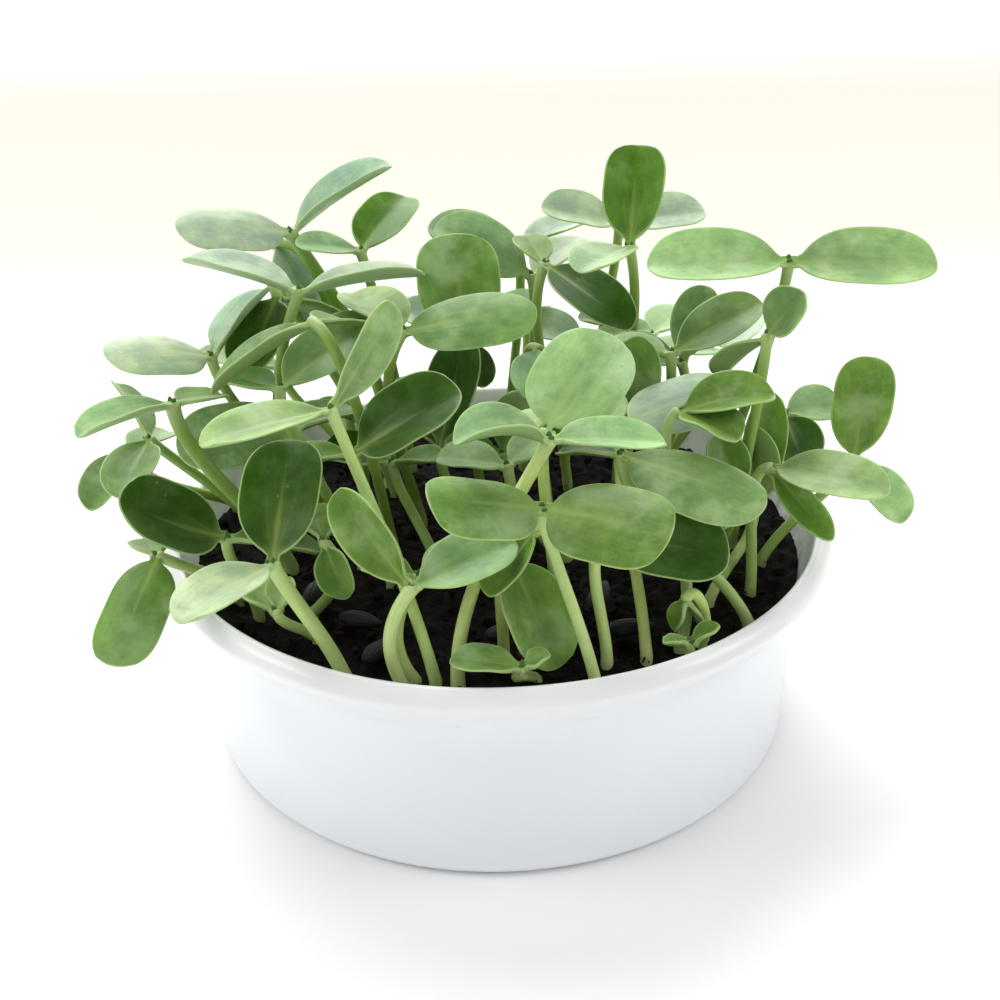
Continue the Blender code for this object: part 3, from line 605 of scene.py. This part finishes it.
def add_blade(shell, head, leaf, tone, rng):
    """One seed leaf: a rounded, slightly rippled plate with a groove along its midrib."""
    rows, columns = BLADE_ROWS + 1, BLADE_COLUMNS + 1
    step = np.linspace(0, 1, rows)
    along = (step + (1 - np.cos(math.pi * step)) / 2) / 2
    across = np.sin(np.linspace(-math.pi / 2, math.pi / 2, columns))
    along, across = (grid.ravel() for grid in np.meshgrid(along, across, indexing="ij"))
    middle = blade_points(head, leaf, along, across).reshape(rows, columns, 3)
    normal = np.cross(np.gradient(middle, axis=0), np.gradient(middle, axis=1))
    normal /= np.linalg.norm(normal, axis=2)[:, :, None]
    along, across = along.reshape(rows, columns), across.reshape(rows, columns)

    half = np.linalg.norm(middle[:, -1] - middle[:, 0], axis=1)[:, None] / 2
    margin = np.minimum(half * (1 - np.abs(across)), leaf.length * (1 - along) * 0.9)
    sideways = across * half
    phase = rng.uniform(0, 2 * math.pi, 3)
    ripple = RIPPLE * np.sin(5 * along + phase[0]) * across ** 2 * np.sign(across)
    ripple = ripple + FINE_RIPPLE * np.sin(11 * along + phase[1] + 2 * across) * across ** 2
    stalk = np.exp(-along * leaf.length / STALK_FADE)
    swelling = EDGE_HALF_THICK + BODY_SWELL * (1 - np.exp(-margin / SWELL_WITHIN)) + STALK_SWELL * stalk
    groove = GROOVE_DEPTH * np.exp(-(sideways / GROOVE_REACH) ** 2) * (1 - along) * (1 - stalk)
    beside = (np.abs(sideways) - SIDE_GROOVE_SHARE * half) / SIDE_GROOVE_REACH
    side_groove = SIDE_GROOVE_DEPTH * np.exp(-beside ** 2) * (1 - along) * (1 - stalk)
    ribbing = RIB_DEPTH * np.exp(-(sideways / RIB_REACH) ** 2) * (1 - along) ** 0.7
    fold = FOLD * (np.abs(across) - 0.5) * (1 - 0.7 * along) * (1 - stalk)
    middle = middle + normal * (ripple + fold)[:, :, None]
    top = middle + normal * (swelling - groove - side_groove)[:, :, None]
    bottom = middle - normal * (swelling + ribbing - side_groove)[:, :, None]

    loop = [(row, columns - 1) for row in range(rows)]
    loop += [(rows - 1, column) for column in range(columns - 2, -1, -1)]
    loop += [(row, 0) for row in range(rows - 2, -1, -1)]
    loop += [(0, column) for column in range(1, columns - 1)]
    edge = []
    for row, column in loop:
        inner = middle[min(max(row, 1), rows - 2), min(max(column, 1), columns - 2)]
        edge.append(middle[row, column] + EDGE_BULGE * unit(middle[row, column] - inner))
    sheet = rows * columns
    upper = grid_faces(rows, columns)
    lower = [tuple(sheet + corner for corner in reversed(face)) for face in upper]
    rim = []
    for index, (row, column) in enumerate(loop):
        after = (index + 1) % len(loop)
        here, there = row * columns + column, loop[after][0] * columns + loop[after][1]
        rim.append((here, there, 2 * sheet + after, 2 * sheet + index))
        rim.append((2 * sheet + index, 2 * sheet + after, sheet + there, sheet + here))
    points = np.concatenate([top.reshape(-1, 3), bottom.reshape(-1, 3), edge])

    marks = np.stack([along.ravel(), across.ravel(), np.ones(sheet)], axis=1)
    loop_marks = [(along[place], across[place], 0) for place in loop]
    margins = np.concatenate([margin.ravel(), margin.ravel(), np.zeros(len(loop))])
    growth = np.concatenate([marks, marks * [1, 1, -1], loop_marks])
    shell.add(points, upper + lower + rim, tone, growth=growth, margin=margins)


def tube_growth(share, sides):
    """Growth marks over a tube: how far along it and how far round it each point is."""
    along, turn = np.meshgrid(share, np.linspace(0, 1, sides, endpoint=False), indexing="ij")
    return np.stack([along.ravel(), turn.ravel(), np.zeros(along.size)], axis=1)


def add_stem(shell, plan, curve, axis, tone):
    """The stem, a little thicker where it leaves the soil and where it meets the leaves."""
    below = [curve[0] - [0, 0, ROOT_DEPTH], curve[0] - [0, 0, 2.0]]
    above = [curve[-1] + 0.5 * axis, curve[-1] + 0.9 * axis]
    points = np.concatenate([below, curve, above])
    share = np.linspace(0, 1, STEM_RINGS)
    swelling = FOOT_SWELL * np.exp(-share / FOOT_FADE) + HEAD_SWELL * np.exp((share - 1) / HEAD_FADE)
    radii = plan.thick / 2 * (STEM_WAIST + swelling)
    radii = np.concatenate([[radii[0]] * 2, radii, [radii[-1] * 0.8, radii[-1] * 0.35]])
    growth = tube_growth([0, 0, *share, 1, 1], STEM_SIDES)
    shell.add(tube(points, radii, STEM_SIDES), capped(len(points), STEM_SIDES), tone, 1, growth)


def add_bud(shell, plan, axis):
    """The first true leaves: a pair of folded tips standing between the seed leaves."""
    outward = direction(plan.leaves[0].heading, 0)
    aside = unit(np.cross(axis, outward))
    share = np.linspace(0, 1, BUD_ROWS)
    radii = BUD_HALF_WIDTH * np.sin(math.pi * (0.12 + 0.86 * share)) ** 0.8
    turns = np.linspace(0, 2 * math.pi, BUD_SIDES, endpoint=False)
    for sign in (-1, 1):
        lean = unit(axis + BUD_LEAN * sign * aside)
        flat = unit(np.cross(lean, aside))
        thin = BUD_FLATNESS * np.cross(lean, flat)
        section = np.outer(np.cos(turns), flat) + np.outer(np.sin(turns), thin)
        base = np.asarray(plan.head) + BUD_APART * sign * aside
        rings = [base + BUD_LENGTH * along * lean + radius * section for along, radius in zip(share, radii)]
        shell.add(np.concatenate(rings), capped(BUD_ROWS, BUD_SIDES), BUD_TONE, 2)


def varied(tone, rng):
    """The tone made a little lighter or darker, and a little yellower or bluer."""
    tone = np.array(tone) * rng.uniform(0.90, 1.10)
    return np.clip(tone * [rng.uniform(0.94, 1.08), 1, rng.uniform(0.88, 1.12)], 0, 1)


def make_seedling(number, plan, materials):
    """One seedling's stem, leaves and bud as one piece; stems further back in the bowl are darker with
    painted shade.
    """
    rng = np.random.default_rng(100 + number)
    curve, axis = stem_points(plan.foot, plan.head, plan.bow, plan.leaves, STEM_RINGS)
    # painted shade: the further back a stem's foot stands, the more of the dark shaded tone it takes
    near = np.clip((SHADED_BEHIND - plan.foot[1]) / (SHADED_BEHIND - PALE_BEFORE), 0, 1)
    stem_tone = varied(np.array(STEM_TONE) * near + np.array(SHADED_STEM_TONE) * (1 - near), rng)
    shell = Shell()
    add_stem(shell, plan, curve, axis, stem_tone)
    for leaf, tone in zip(plan.leaves, LEAF_TONES.get(number, ("mid", "mid"))):
        add_blade(shell, plan.head, leaf, varied(TONES[tone], rng), rng)
    add_bud(shell, plan, axis)
    node = f"seedling_{number:02}" if number <= len(SEEDLINGS) else None
    shell.make_piece(f"greens_{number:02}", materials, node)


def rounded(profile, radius):
    """The profile with each inner corner cut to an arc of that radius, or as near as its sides allow."""
    corners = np.array(profile, float)
    smooth = [corners[0]]
    for before, corner, after in zip(corners, corners[1:], corners[2:]):
        back, on = before - corner, after - corner
        reach = min(radius, np.linalg.norm(back) * 0.45, np.linalg.norm(on) * 0.45)
        start, end = corner + unit(back) * reach, corner + unit(on) * reach
        share = np.linspace(0, 1, ARC_POINTS)[:, None]
        smooth.extend((1 - share) ** 2 * start + 2 * share * (1 - share) * corner + share ** 2 * end)
    smooth.append(corners[-1])
    return np.array(smooth)


def ring(radius, height, turns):
    """Points at a radius and a height, one at each turn."""
    return np.stack([radius * np.cos(turns), radius * np.sin(turns), height + 0 * radius * turns], axis=-1)


def make_bowl(material):
    """The turned bowl: a rounded lip over a thin wall, a little uneven as moulded plastic is."""
    profile = rounded(bowl_profile(), CORNER_RADIUS)
    profile[0, 0] = profile[-1, 0] = AXIS_RADIUS
    turns = np.linspace(0, 2 * math.pi, BOWL_STEPS, endpoint=False)
    radius, height = profile[:, 0, None], profile[:, 1, None]
    wobble = 1 + WOBBLE * np.sin(3 * turns + 0.7) + FINE_WOBBLE * np.sin(7 * turns + 2.0)
    points = ring(radius * wobble, height, turns).reshape(-1, 3)
    shell = Shell()
    shell.add(points, capped(len(profile), BOWL_STEPS), BOWL_TONE)
    shell.make_piece("bowl_moulded", [material], "bowl")


def soil_height(x, y):
    """Height of the crumbled soil surface, in millimetres, as in the part."""
    waves = np.sin(x / 9 + 1.3) * np.cos(y / 11) + 0.6 * np.sin((x - 2 * y) / 17)
    return SOIL_HEIGHT + SOIL_UNEVEN * waves / 1.6


def soil_body():
    """Points of the soil, ring by ring: out over its cloddy top, then down its side."""
    turns = np.linspace(0, 2 * math.pi, SOIL_STEPS, endpoint=False)
    radii = np.linspace(0, 1, SOIL_RING_COUNT + 1)[1:, None] * SOIL_SIDE[0][0]
    top = ring(radii, 0, turns).reshape(-1, 3)
    clods = [noise.turbulence(Vector((x / CLOD_SIZE, y / CLOD_SIZE, 3.0)), 4, False) for x, y, _ in top]
    top[:, 2] = soil_height(top[:, 0], top[:, 1]) + CLOD_HEIGHT * (np.array(clods) - 0.75)
    return np.concatenate([top] + [ring(radius, height, turns) for radius, height in SOIL_SIDE])


def ball():
    """Points and faces of a ball of radius 1."""
    bm = bmesh.new()
    bmesh.ops.create_icosphere(bm, subdivisions=2, radius=1)
    points = np.array([vertex.co for vertex in bm.verts])
    faces = [tuple(vertex.index for vertex in face.verts) for face in bm.faces]
    bm.free()
    return points, faces


def lump(points, size, rng):
    """An uneven lump: a ball pushed in and out along a few random directions, then squashed."""
    offset = np.zeros(len(points))
    for _ in range(5):
        push = unit(rng.normal(size=3))
        depth = rng.uniform(-0.16, 0.16)
        waves = rng.uniform(1.5, 4.5) * (points @ push)
        offset += depth * np.cos(waves + rng.uniform(0, 6))
    shape = points * (1 + offset)[:, None] * np.asarray(size)
    turn = np.array(Matrix.Rotation(rng.uniform(0, 2 * math.pi), 3, Vector(unit(rng.normal(size=3)))))
    return shape @ turn.T


def make_soil(material):
    """Crumbly soil: a rough disc filled down to the bowl's floor, strewn with crumbs and bark."""
    rng = np.random.default_rng(7)
    shell = Shell()
    shell.add(soil_body(), capped(SOIL_RING_COUNT + len(SOIL_SIDE), SOIL_STEPS), SOIL_TONE)
    ball_points, ball_faces = ball()
    for index in range(CRUMBS + BARK_BITS):
        bark = index >= CRUMBS
        radius, turn = (SOIL_RADIUS + 1.0) * math.sqrt(rng.uniform()), rng.uniform(0, 2 * math.pi)
        place = np.array([radius * math.cos(turn), radius * math.sin(turn), 0])
        size = min(CRUMB_SIZE * rng.lognormal(0, CRUMB_SPREAD), LARGEST_CRUMB)
        stretch = (rng.uniform(2.0, 3.6), rng.uniform(0.7, 1.0), 0.5) if bark else (1, 0.85, 0.75)
        place[2] = soil_height(*place[:2]) + rng.uniform(-0.3, 0.8) * size
        tone = np.array(BARK_TONE if bark else CRUMB_TONE) * rng.uniform(0.5, 1.6)
        shell.add(place + lump(ball_points, np.array(stretch) * size, rng), ball_faces, tone)
    shell.make_piece("soil_crumbled", [material], "soil")


def make_hull(number, x, y, heading, tilt, material):
    """An empty seed hull: flattened, drawn to a point, ridged along its length."""
    share = np.linspace(0, 1, HULL_ROWS)
    turns = np.linspace(0, 2 * math.pi, HULL_SIDES, endpoint=False)
    outline = np.sqrt(np.clip(1 - (2 * share - 1) ** 2, 0.0004, 1)) * (1 - HULL_NARROWING * share ** 2)
    ridges = 1 + HULL_RIDGE * np.cos(14 * turns) + HULL_FINE_RIDGE * np.cos(9 * turns + 1)
    length, width, thick = HULL_SIZE
    along = np.repeat((share - 0.5) * length, HULL_SIDES)
    side = np.outer(outline, np.cos(turns) * ridges).ravel() * width / 2
    rise = np.outer(outline, np.sin(turns) * ridges).ravel() * thick / 2
    lift = thick / 2 + HULL_LIFT + length / 2 * math.sin(math.radians(abs(tilt)))
    turn = Matrix.Rotation(math.radians(heading), 3, "Z") @ Matrix.Rotation(-math.radians(tilt), 3, "Y")
    points = np.stack([along, side, rise], axis=1) @ np.array(turn).T
    points += [x, y, soil_height(x, y) + lift]
    shell = Shell()
    shell.add(points, capped(HULL_ROWS, HULL_SIDES), HULL_TONE, growth=tube_growth(share, HULL_SIDES))
    node = f"seed_hull_{number}" if number <= len(HULLS) else None
    shell.make_piece(f"hull_ridged_{number}", [material], node)


class Look:
    """One material, with short names for building its nodes."""

    def __init__(self, name):
        self.material = bpy.data.materials.new(name)
        self.material.use_nodes = True
        self.tree = self.material.node_tree
        self.shader = self.tree.nodes["Principled BSDF"]

    def set(self, **values):
        """Constants of the shader, by the names of its sockets."""
        for name, value in values.items():
            self.shader.inputs[name.replace("_", " ")].default_value = value

    def feed(self, socket, value):
        """Links another node's output to the socket, or sets it to a number or a colour."""
        if isinstance(value, bpy.types.NodeSocket):
            self.tree.links.new(value, socket)
        elif value is not None:
            socket.default_value = (*value, 1) if isinstance(value, tuple) else value

    def new(self, kind, sockets=(), **settings):
        """A new node with its settings, and with its sockets fed by number or name."""
        node = self.tree.nodes.new(kind)
        for name, value in settings.items():
            setattr(node, name, value)
        for socket, value in dict(sockets).items():
            self.feed(node.inputs[socket], value)
        return node

    def attribute(self, name, output):
        return self.new("ShaderNodeAttribute", attribute_name=name).outputs[output]

    def place(self):
        return self.new("ShaderNodeTexCoord").outputs["Object"]

    def parts(self, vector):
        return self.new("ShaderNodeSeparateXYZ", {0: vector}).outputs

    def join(self, x, y, z):
        return self.new("ShaderNodeCombineXYZ", {0: x, 1: y, 2: z}).outputs[0]

    def math(self, operation, *values):
        return self.new("ShaderNodeMath", enumerate(values), operation=operation).outputs[0]

    def times(self, first, second):
        return self.math("MULTIPLY", first, second)

    def plus(self, first, second):
        return self.math("ADD", first, second)

    def noise(self, vector, scale, detail=3, rough=0.55):
        sockets = {"Vector": vector, "Scale": scale, "Detail": detail, "Roughness": rough}
        return self.new("ShaderNodeTexNoise", sockets).outputs["Fac"]

    def cells(self, vector, scale, feature="F1"):
        """Distance to the nearest cell's middle, or to its edge."""
        sockets = {"Vector": vector, "Scale": scale}
        return self.new("ShaderNodeTexVoronoi", sockets, feature=feature).outputs["Distance"]

    def ramp(self, value, low, high, start=0, end=1):
        """start where value is at or below low, end where it is at or above high, and smooth between."""
        numbers = enumerate((value, low, high, start, end))
        return self.new("ShaderNodeMapRange", numbers, interpolation_type="SMOOTHSTEP").outputs[0]

    def mix(self, share, first, second, blend="MIX"):
        sockets = {0: share, 6: first, 7: second}
        return self.new("ShaderNodeMix", sockets, data_type="RGBA", blend_type=blend).outputs[2]

    def lighten(self, colour, value, low, high):
        """The colour multiplied by low to high as value goes from 0 to 1."""
        grey = self.new("ShaderNodeMapRange", enumerate((value, 0, 1, low, high))).outputs[0]
        return self.mix(1, colour, self.join(grey, grey, grey), blend="MULTIPLY")

    def lengthwise(self, along, turn):
        """A place for streaks along a tube, without a seam round it."""
        angle = self.times(turn, 6.2832)
        return self.join(along, self.math("SINE", angle), self.math("COSINE", angle))

    def bump(self, height, distance, strength):
        sockets = {"Height": height, "Distance": distance, "Strength": strength}
        return self.new("ShaderNodeBump", sockets).outputs["Normal"]

    def finish(self, colour, roughness, normal=None):
        self.feed(self.shader.inputs["Base Color"], colour)
        self.feed(self.shader.inputs["Roughness"], roughness)
        self.feed(self.shader.inputs["Normal"], normal)
        return self.material


def leaf_veins(look, along, off_middle):
    """Where the midrib and the curved side veins lie, each from 0 to 1."""
    rib_width = look.ramp(along, 0, 0.9, 0.17, 0.03)
    rib = look.ramp(look.math("DIVIDE", off_middle, rib_width), 0, 1, 1, 0)
    rib = look.times(rib, look.ramp(along, 0.12, 0.80, 1, 0.10))
    spread = look.times(look.math("POWER", along, 0.5), 0.52)
    from_vein = look.math("ABSOLUTE", look.math("SUBTRACT", off_middle, spread))
    vein = look.ramp(from_vein, 0, 0.07, 1, 0)
    return rib, look.times(vein, look.ramp(along, 0.1, 0.7, 0.75, 0))


def leaf_net(look, along, across, side, place):
    """Where the fine net of small veins lies, from 0 to 1."""
    stray = look.times(look.noise(place, 420, 2), 1.3)
    wide, high = look.plus(look.times(along, 7), stray), look.plus(look.times(across, 4), stray)
    return look.ramp(look.cells(look.join(wide, high, side), 1, "DISTANCE_TO_EDGE"), 0, 0.09, 1, 0)


def leaf_specks(look, place):
    """Where the few brown specks lie, from 0 to 1."""
    dots = look.ramp(look.cells(place, 300), 0.05, 0.13, 1, 0)
    return look.times(dots, look.ramp(look.noise(place, 60, 1), 0.56, 0.62))


def leaf_material():
    """Satin seed leaf: pale midrib and side veins, faint streaks, light margin, paler underside, painted
    shade near the bud and patches of painted sheen.
    """
    look = Look("leaf_blade")
    along, across, side = look.parts(look.attribute("growth", "Vector"))
    tone = look.attribute("tone", "Color")
    off_middle = look.math("ABSOLUTE", across)
    place = look.place()
    rib, vein = leaf_veins(look, along, off_middle)
    streak_place = look.join(look.times(along, 2.2), look.times(across, 7), side)
    streaks = look.noise(streak_place, 1.6, 4, 0.6)
    mottle = look.noise(place, 120, 5, 0.62)

    shade = look.mix(look.ramp(mottle, 0.32, 0.68), LEAF_SHADE, LEAF_LIGHT)
    colour = look.mix(1, tone, shade, blend="MULTIPLY")
    colour = look.lighten(colour, streaks, 0.80, 1.22)
    colour = look.lighten(colour, look.noise(place, 1500, 2), 0.90, 1.10)
    # painted shade: darker near the bud and along the middle of the blade, lighter towards its tip and
    # edges
    colour = look.lighten(colour, along, 0.86, 1.12)
    colour = look.lighten(colour, off_middle, 0.90, 1.12)
    lightness = look.ramp(look.parts(tone)[1], 0.06, 0.40, 0.08, 1)
    # painted sheen: whitish patches, stronger on the lighter leaves
    painted_sheen = look.ramp(look.noise(place, 60, 4, 0.6), 0.47, 0.70, 0, 0.34)
    colour = look.mix(look.times(painted_sheen, lightness), colour, LEAF_PAINTED_SHEEN)
    pale = look.mix(0.45, tone, LEAF_VEIN)
    glow = look.times(look.ramp(off_middle, 0, 0.55, 1, 0), look.ramp(along, 0.05, 0.65, 1, 0))
    net = leaf_net(look, along, across, side, place)
    net_strength = look.ramp(lightness, 0, 1, 0.05, 0.16)
    for share, strength in ((glow, 0.38), (rib, 0.68), (vein, 0.22), (net, net_strength)):
        colour = look.mix(look.times(share, strength), colour, pale)
    colour = look.mix(look.ramp(along, 0, 0.16, 0.55, 0), colour, LEAF_BASE)
    underside = look.lighten(look.mix(0.42, tone, LEAF_UNDERSIDE), streaks, 0.85, 1.15)
    colour = look.mix(look.ramp(side, -0.6, 0.2, 1, 0), colour, underside)
    margin = look.ramp(look.attribute("margin", "Fac"), 0.02, 0.32, 0.62, 0)
    colour = look.mix(margin, colour, LEAF_MARGIN)
    colour = look.mix(look.times(leaf_specks(look, place), 0.5), colour, LEAF_SPECK)

    height = look.plus(look.times(streaks, 0.3), look.times(look.cells(place, 1700), 0.25))
    height = look.math("SUBTRACT", height, look.times(vein, 0.35))
    look.set(Subsurface_Weight=0.08, Subsurface_Radius=(0.6, 1, 0.15), Subsurface_Scale=0.0015,
             Specular_IOR_Level=0.20)
    return look.finish(colour, look.ramp(mottle, 0.3, 0.7, 0.33, 0.44), look.bump(height, 0.00012, 0.5))


def stem_material():
    """Juicy stem: pale green, greener towards the leaves, with fine lengthwise streaks."""
    look = Look("leaf_stem")
    along, turn, _ = look.parts(look.attribute("growth", "Vector"))
    place = look.place()
    streaks = look.noise(look.lengthwise(look.times(along, 1.2), turn), 5, 4, 0.6)
    mottle = look.noise(place, 260)
    colour = look.lighten(look.attribute("tone", "Color"), streaks, 0.80, 1.20)
    colour = look.lighten(colour, mottle, 0.85, 1.15)
    colour = look.mix(look.ramp(along, 0, 0.16, 0.45, 0), colour, STEM_FOOT)
    colour = look.mix(look.ramp(along, 0.8, 1, 0, 0.45), colour, STEM_TOP)
    look.set(Subsurface_Weight=0.18, Subsurface_Radius=(1, 1, 0.3), Subsurface_Scale=0.002,
             Specular_IOR_Level=0.4)
    height = look.plus(streaks, look.times(look.noise(place, 1800, 2), 0.3))
    return look.finish(colour, look.ramp(mottle, 0.3, 0.7, 0.36, 0.50), look.bump(height, 0.00012, 0.5))


def bud_material():
    """Dark, slightly rough bud."""
    look = Look("leaf_bud")
    grain = look.noise(look.place(), 900)
    colour = look.lighten(look.attribute("tone", "Color"), grain, 0.6, 1.5)
    return look.finish(colour, look.ramp(grain, 0.3, 0.7, 0.45, 0.65), look.bump(grain, 0.0002, 0.6))


def soil_dust(look, place):
    """How much soil clings to the bowl's inside, just over the soil, from 0 to 1."""
    x, y, z = look.parts(place)
    radius = look.math("SQRT", look.plus(look.times(x, x), look.times(y, y)))
    dust = look.ramp(look.noise(place, 180, 5, 0.7), 0.48, 0.66)
    dust = look.times(dust, look.ramp(z, 0.0475, 0.0535, 1, 0))
    inside = look.times(look.ramp(radius, 0.0790, 0.0803, 1, 0), look.ramp(z, 0.0440, 0.0450))
    return look.times(dust, inside)


def plastic_material():
    """Milky moulded plastic: satin, faintly cloudy, with painted shade over the lip and soil dust low on
    the inside wall.
    """
    look = Look("milky_moulding")
    place = look.place()
    x, y, z = look.parts(place)
    cloud = look.noise(place, 26)
    drawn_up = look.join(look.times(x, 60), look.times(y, 60), look.times(z, 8))
    colour = look.mix(look.ramp(cloud, 0.3, 0.7), PLASTIC_SHADE, PLASTIC_LIGHT)
    # painted shade: the lip and the top of the wall are darker, to hold back the light they get from above
    colour = look.mix(look.ramp(z, 0.040, 0.054, 0, 0.8), colour, PLASTIC_LIP_SHADED)
    colour = look.mix(look.times(soil_dust(look, place), 0.45), colour, DUST)
    height = look.plus(look.noise(drawn_up, 1), look.times(look.noise(place, 700), 0.05))
    look.set(Subsurface_Weight=0.35, Subsurface_Radius=(1, 1, 1), Subsurface_Scale=0.004,
             Coat_Weight=0.25, Coat_Roughness=0.12, IOR=1.49)
    return look.finish(colour, look.ramp(cloud, 0.3, 0.7, 0.31, 0.37), look.bump(height, 0.0004, 0.3))


def soil_material():
    """Damp dark soil with reddish crumbs."""
    look = Look("damp_soil")
    place = look.place()
    clods = look.noise(place, 240, 6, 0.7)
    fine = look.noise(place, 1400, 4, 0.7)
    colour = look.lighten(look.attribute("tone", "Color"), clods, 0.35, 1.7)
    colour = look.lighten(colour, fine, 0.5, 1.5)
    colour = look.mix(look.ramp(look.noise(place, 110), 0.55, 0.68, 0, 0.5), colour, RED_SOIL)
    height = look.plus(clods, look.times(fine, 0.5))
    look.set(Specular_IOR_Level=0.12)
    return look.finish(colour, look.ramp(clods, 0.3, 0.7, 0.72, 0.97), look.bump(height, 0.0009, 0.9))


def hull_material():
    """Black seed hull with fine grey stripes along it."""
    look = Look("striped_hull")
    along, turn, _ = look.parts(look.attribute("growth", "Vector"))
    stripes = look.noise(look.lengthwise(look.times(along, 0.7), turn), 6, 4, 0.65)
    colour = look.mix(look.ramp(stripes, 0.45, 0.68), HULL_BLACK, HULL_GREY)
    colour = look.lighten(colour, look.noise(look.place(), 500), 0.7, 1.3)
    look.set(Specular_IOR_Level=0.22)
    return look.finish(colour, look.ramp(stripes, 0.3, 0.7, 0.42, 0.62), look.bump(stripes, 0.0003, 0.6))


def floor_material():
    """White near the bowl, cream behind it, white again far away."""
    look = Look("studio_floor")
    place = look.place()
    depth = look.parts(place)[1]
    colour = look.mix(look.noise(place, 1.5, 2), FLOOR_SHADE, FLOOR_LIGHT)
    cream = look.times(look.ramp(depth, *CREAM_RISES), look.ramp(depth, *CREAM_FADES, 1, 0))
    look.set(Specular_IOR_Level=0)
    return look.finish(look.mix(cream, colour, FLOOR_CREAM), 0.6)


def make_floor():
    """A wide level sheet."""
    mesh = bpy.data.meshes.new("studio_floor")
    mesh.from_pydata(FLOOR_CORNERS, [], [(0, 1, 2, 3)])
    mesh.materials.append(floor_material())
    floor = bpy.data.objects.new("studio_floor", mesh)
    bpy.context.scene.collection.objects.link(floor)
    floor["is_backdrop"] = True


def make_light(name, kind, place, aim, settings):
    """A lamp at its place, turned to its aim."""
    lamp = bpy.data.lights.new(name, kind)
    for setting, value in settings.items():
        setattr(lamp, setting, value)
    made = bpy.data.objects.new(name, lamp)
    made.location = place
    made.rotation_euler = (Vector(aim) - Vector(place)).to_track_quat("-Z", "Y").to_euler()
    bpy.context.scene.collection.objects.link(made)


def make_world():
    """An even studio all round, brighter at the back."""
    world = bpy.data.worlds.new("studio")
    world.use_nodes = True
    tree = world.node_tree
    background = tree.nodes["Background"]
    background.inputs["Color"].default_value = WORLD_TINT
    towards = tree.nodes.new("ShaderNodeSeparateXYZ")
    tree.links.new(tree.nodes.new("ShaderNodeTexCoord").outputs["Generated"], towards.inputs[0])
    brighter = tree.nodes.new("ShaderNodeMapRange")
    brighter.interpolation_type = "SMOOTHSTEP"
    tree.links.new(towards.outputs["Y"], brighter.inputs[0])
    for socket, number in zip(list(brighter.inputs)[1:5], WORLD_RISE + WORLD_STRENGTH):
        socket.default_value = number
    tree.links.new(brighter.outputs[0], background.inputs["Strength"])
    bpy.context.scene.world = world


def make_camera():
    """The camera at the photo's angle, a little rolled as the photo is."""
    data = bpy.data.cameras.new("photo_view")
    data.lens = 50
    data.sensor_width = 36
    data.clip_start = 0.01
    camera = bpy.data.objects.new("photo_view", data)
    back = Vector((0, -math.cos(CAMERA_RISE), math.sin(CAMERA_RISE)))
    camera.location = TARGET + back * CAMERA_DISTANCE
    camera.rotation_mode = "QUATERNION"
    roll = Matrix.Rotation(CAMERA_ROLL, 4, "Z").to_quaternion()
    camera.rotation_quaternion = (-back).to_track_quat("-Z", "Y") @ roll
    bpy.context.scene.collection.objects.link(camera)
    bpy.context.scene.camera = camera


def make_studio():
    """The camera, the floor and the light."""
    make_camera()
    make_floor()
    make_world()
    for name, light in LIGHTS.items():
        make_light(name, *light)
    bpy.context.scene.view_settings.view_transform = "Standard"


def main():
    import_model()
    cad_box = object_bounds()
    make_studio()
    greens = [leaf_material(), stem_material(), bud_material()]
    bed = Bed()
    for number, row in enumerate(SEEDLINGS + SPROUTS, start=1):
        make_seedling(number, planted(bed, seedling(*row)), greens)
    make_bowl(plastic_material())
    make_soil(soil_material())
    husk = hull_material()
    for number, place in enumerate(HULLS + MORE_HULLS, start=1):
        make_hull(number, *place, husk)
    boxes = {"cad": cad_box, "visual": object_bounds()}
    {name: [list(corner) for corner in box] for name, box in boxes.items()}


main()
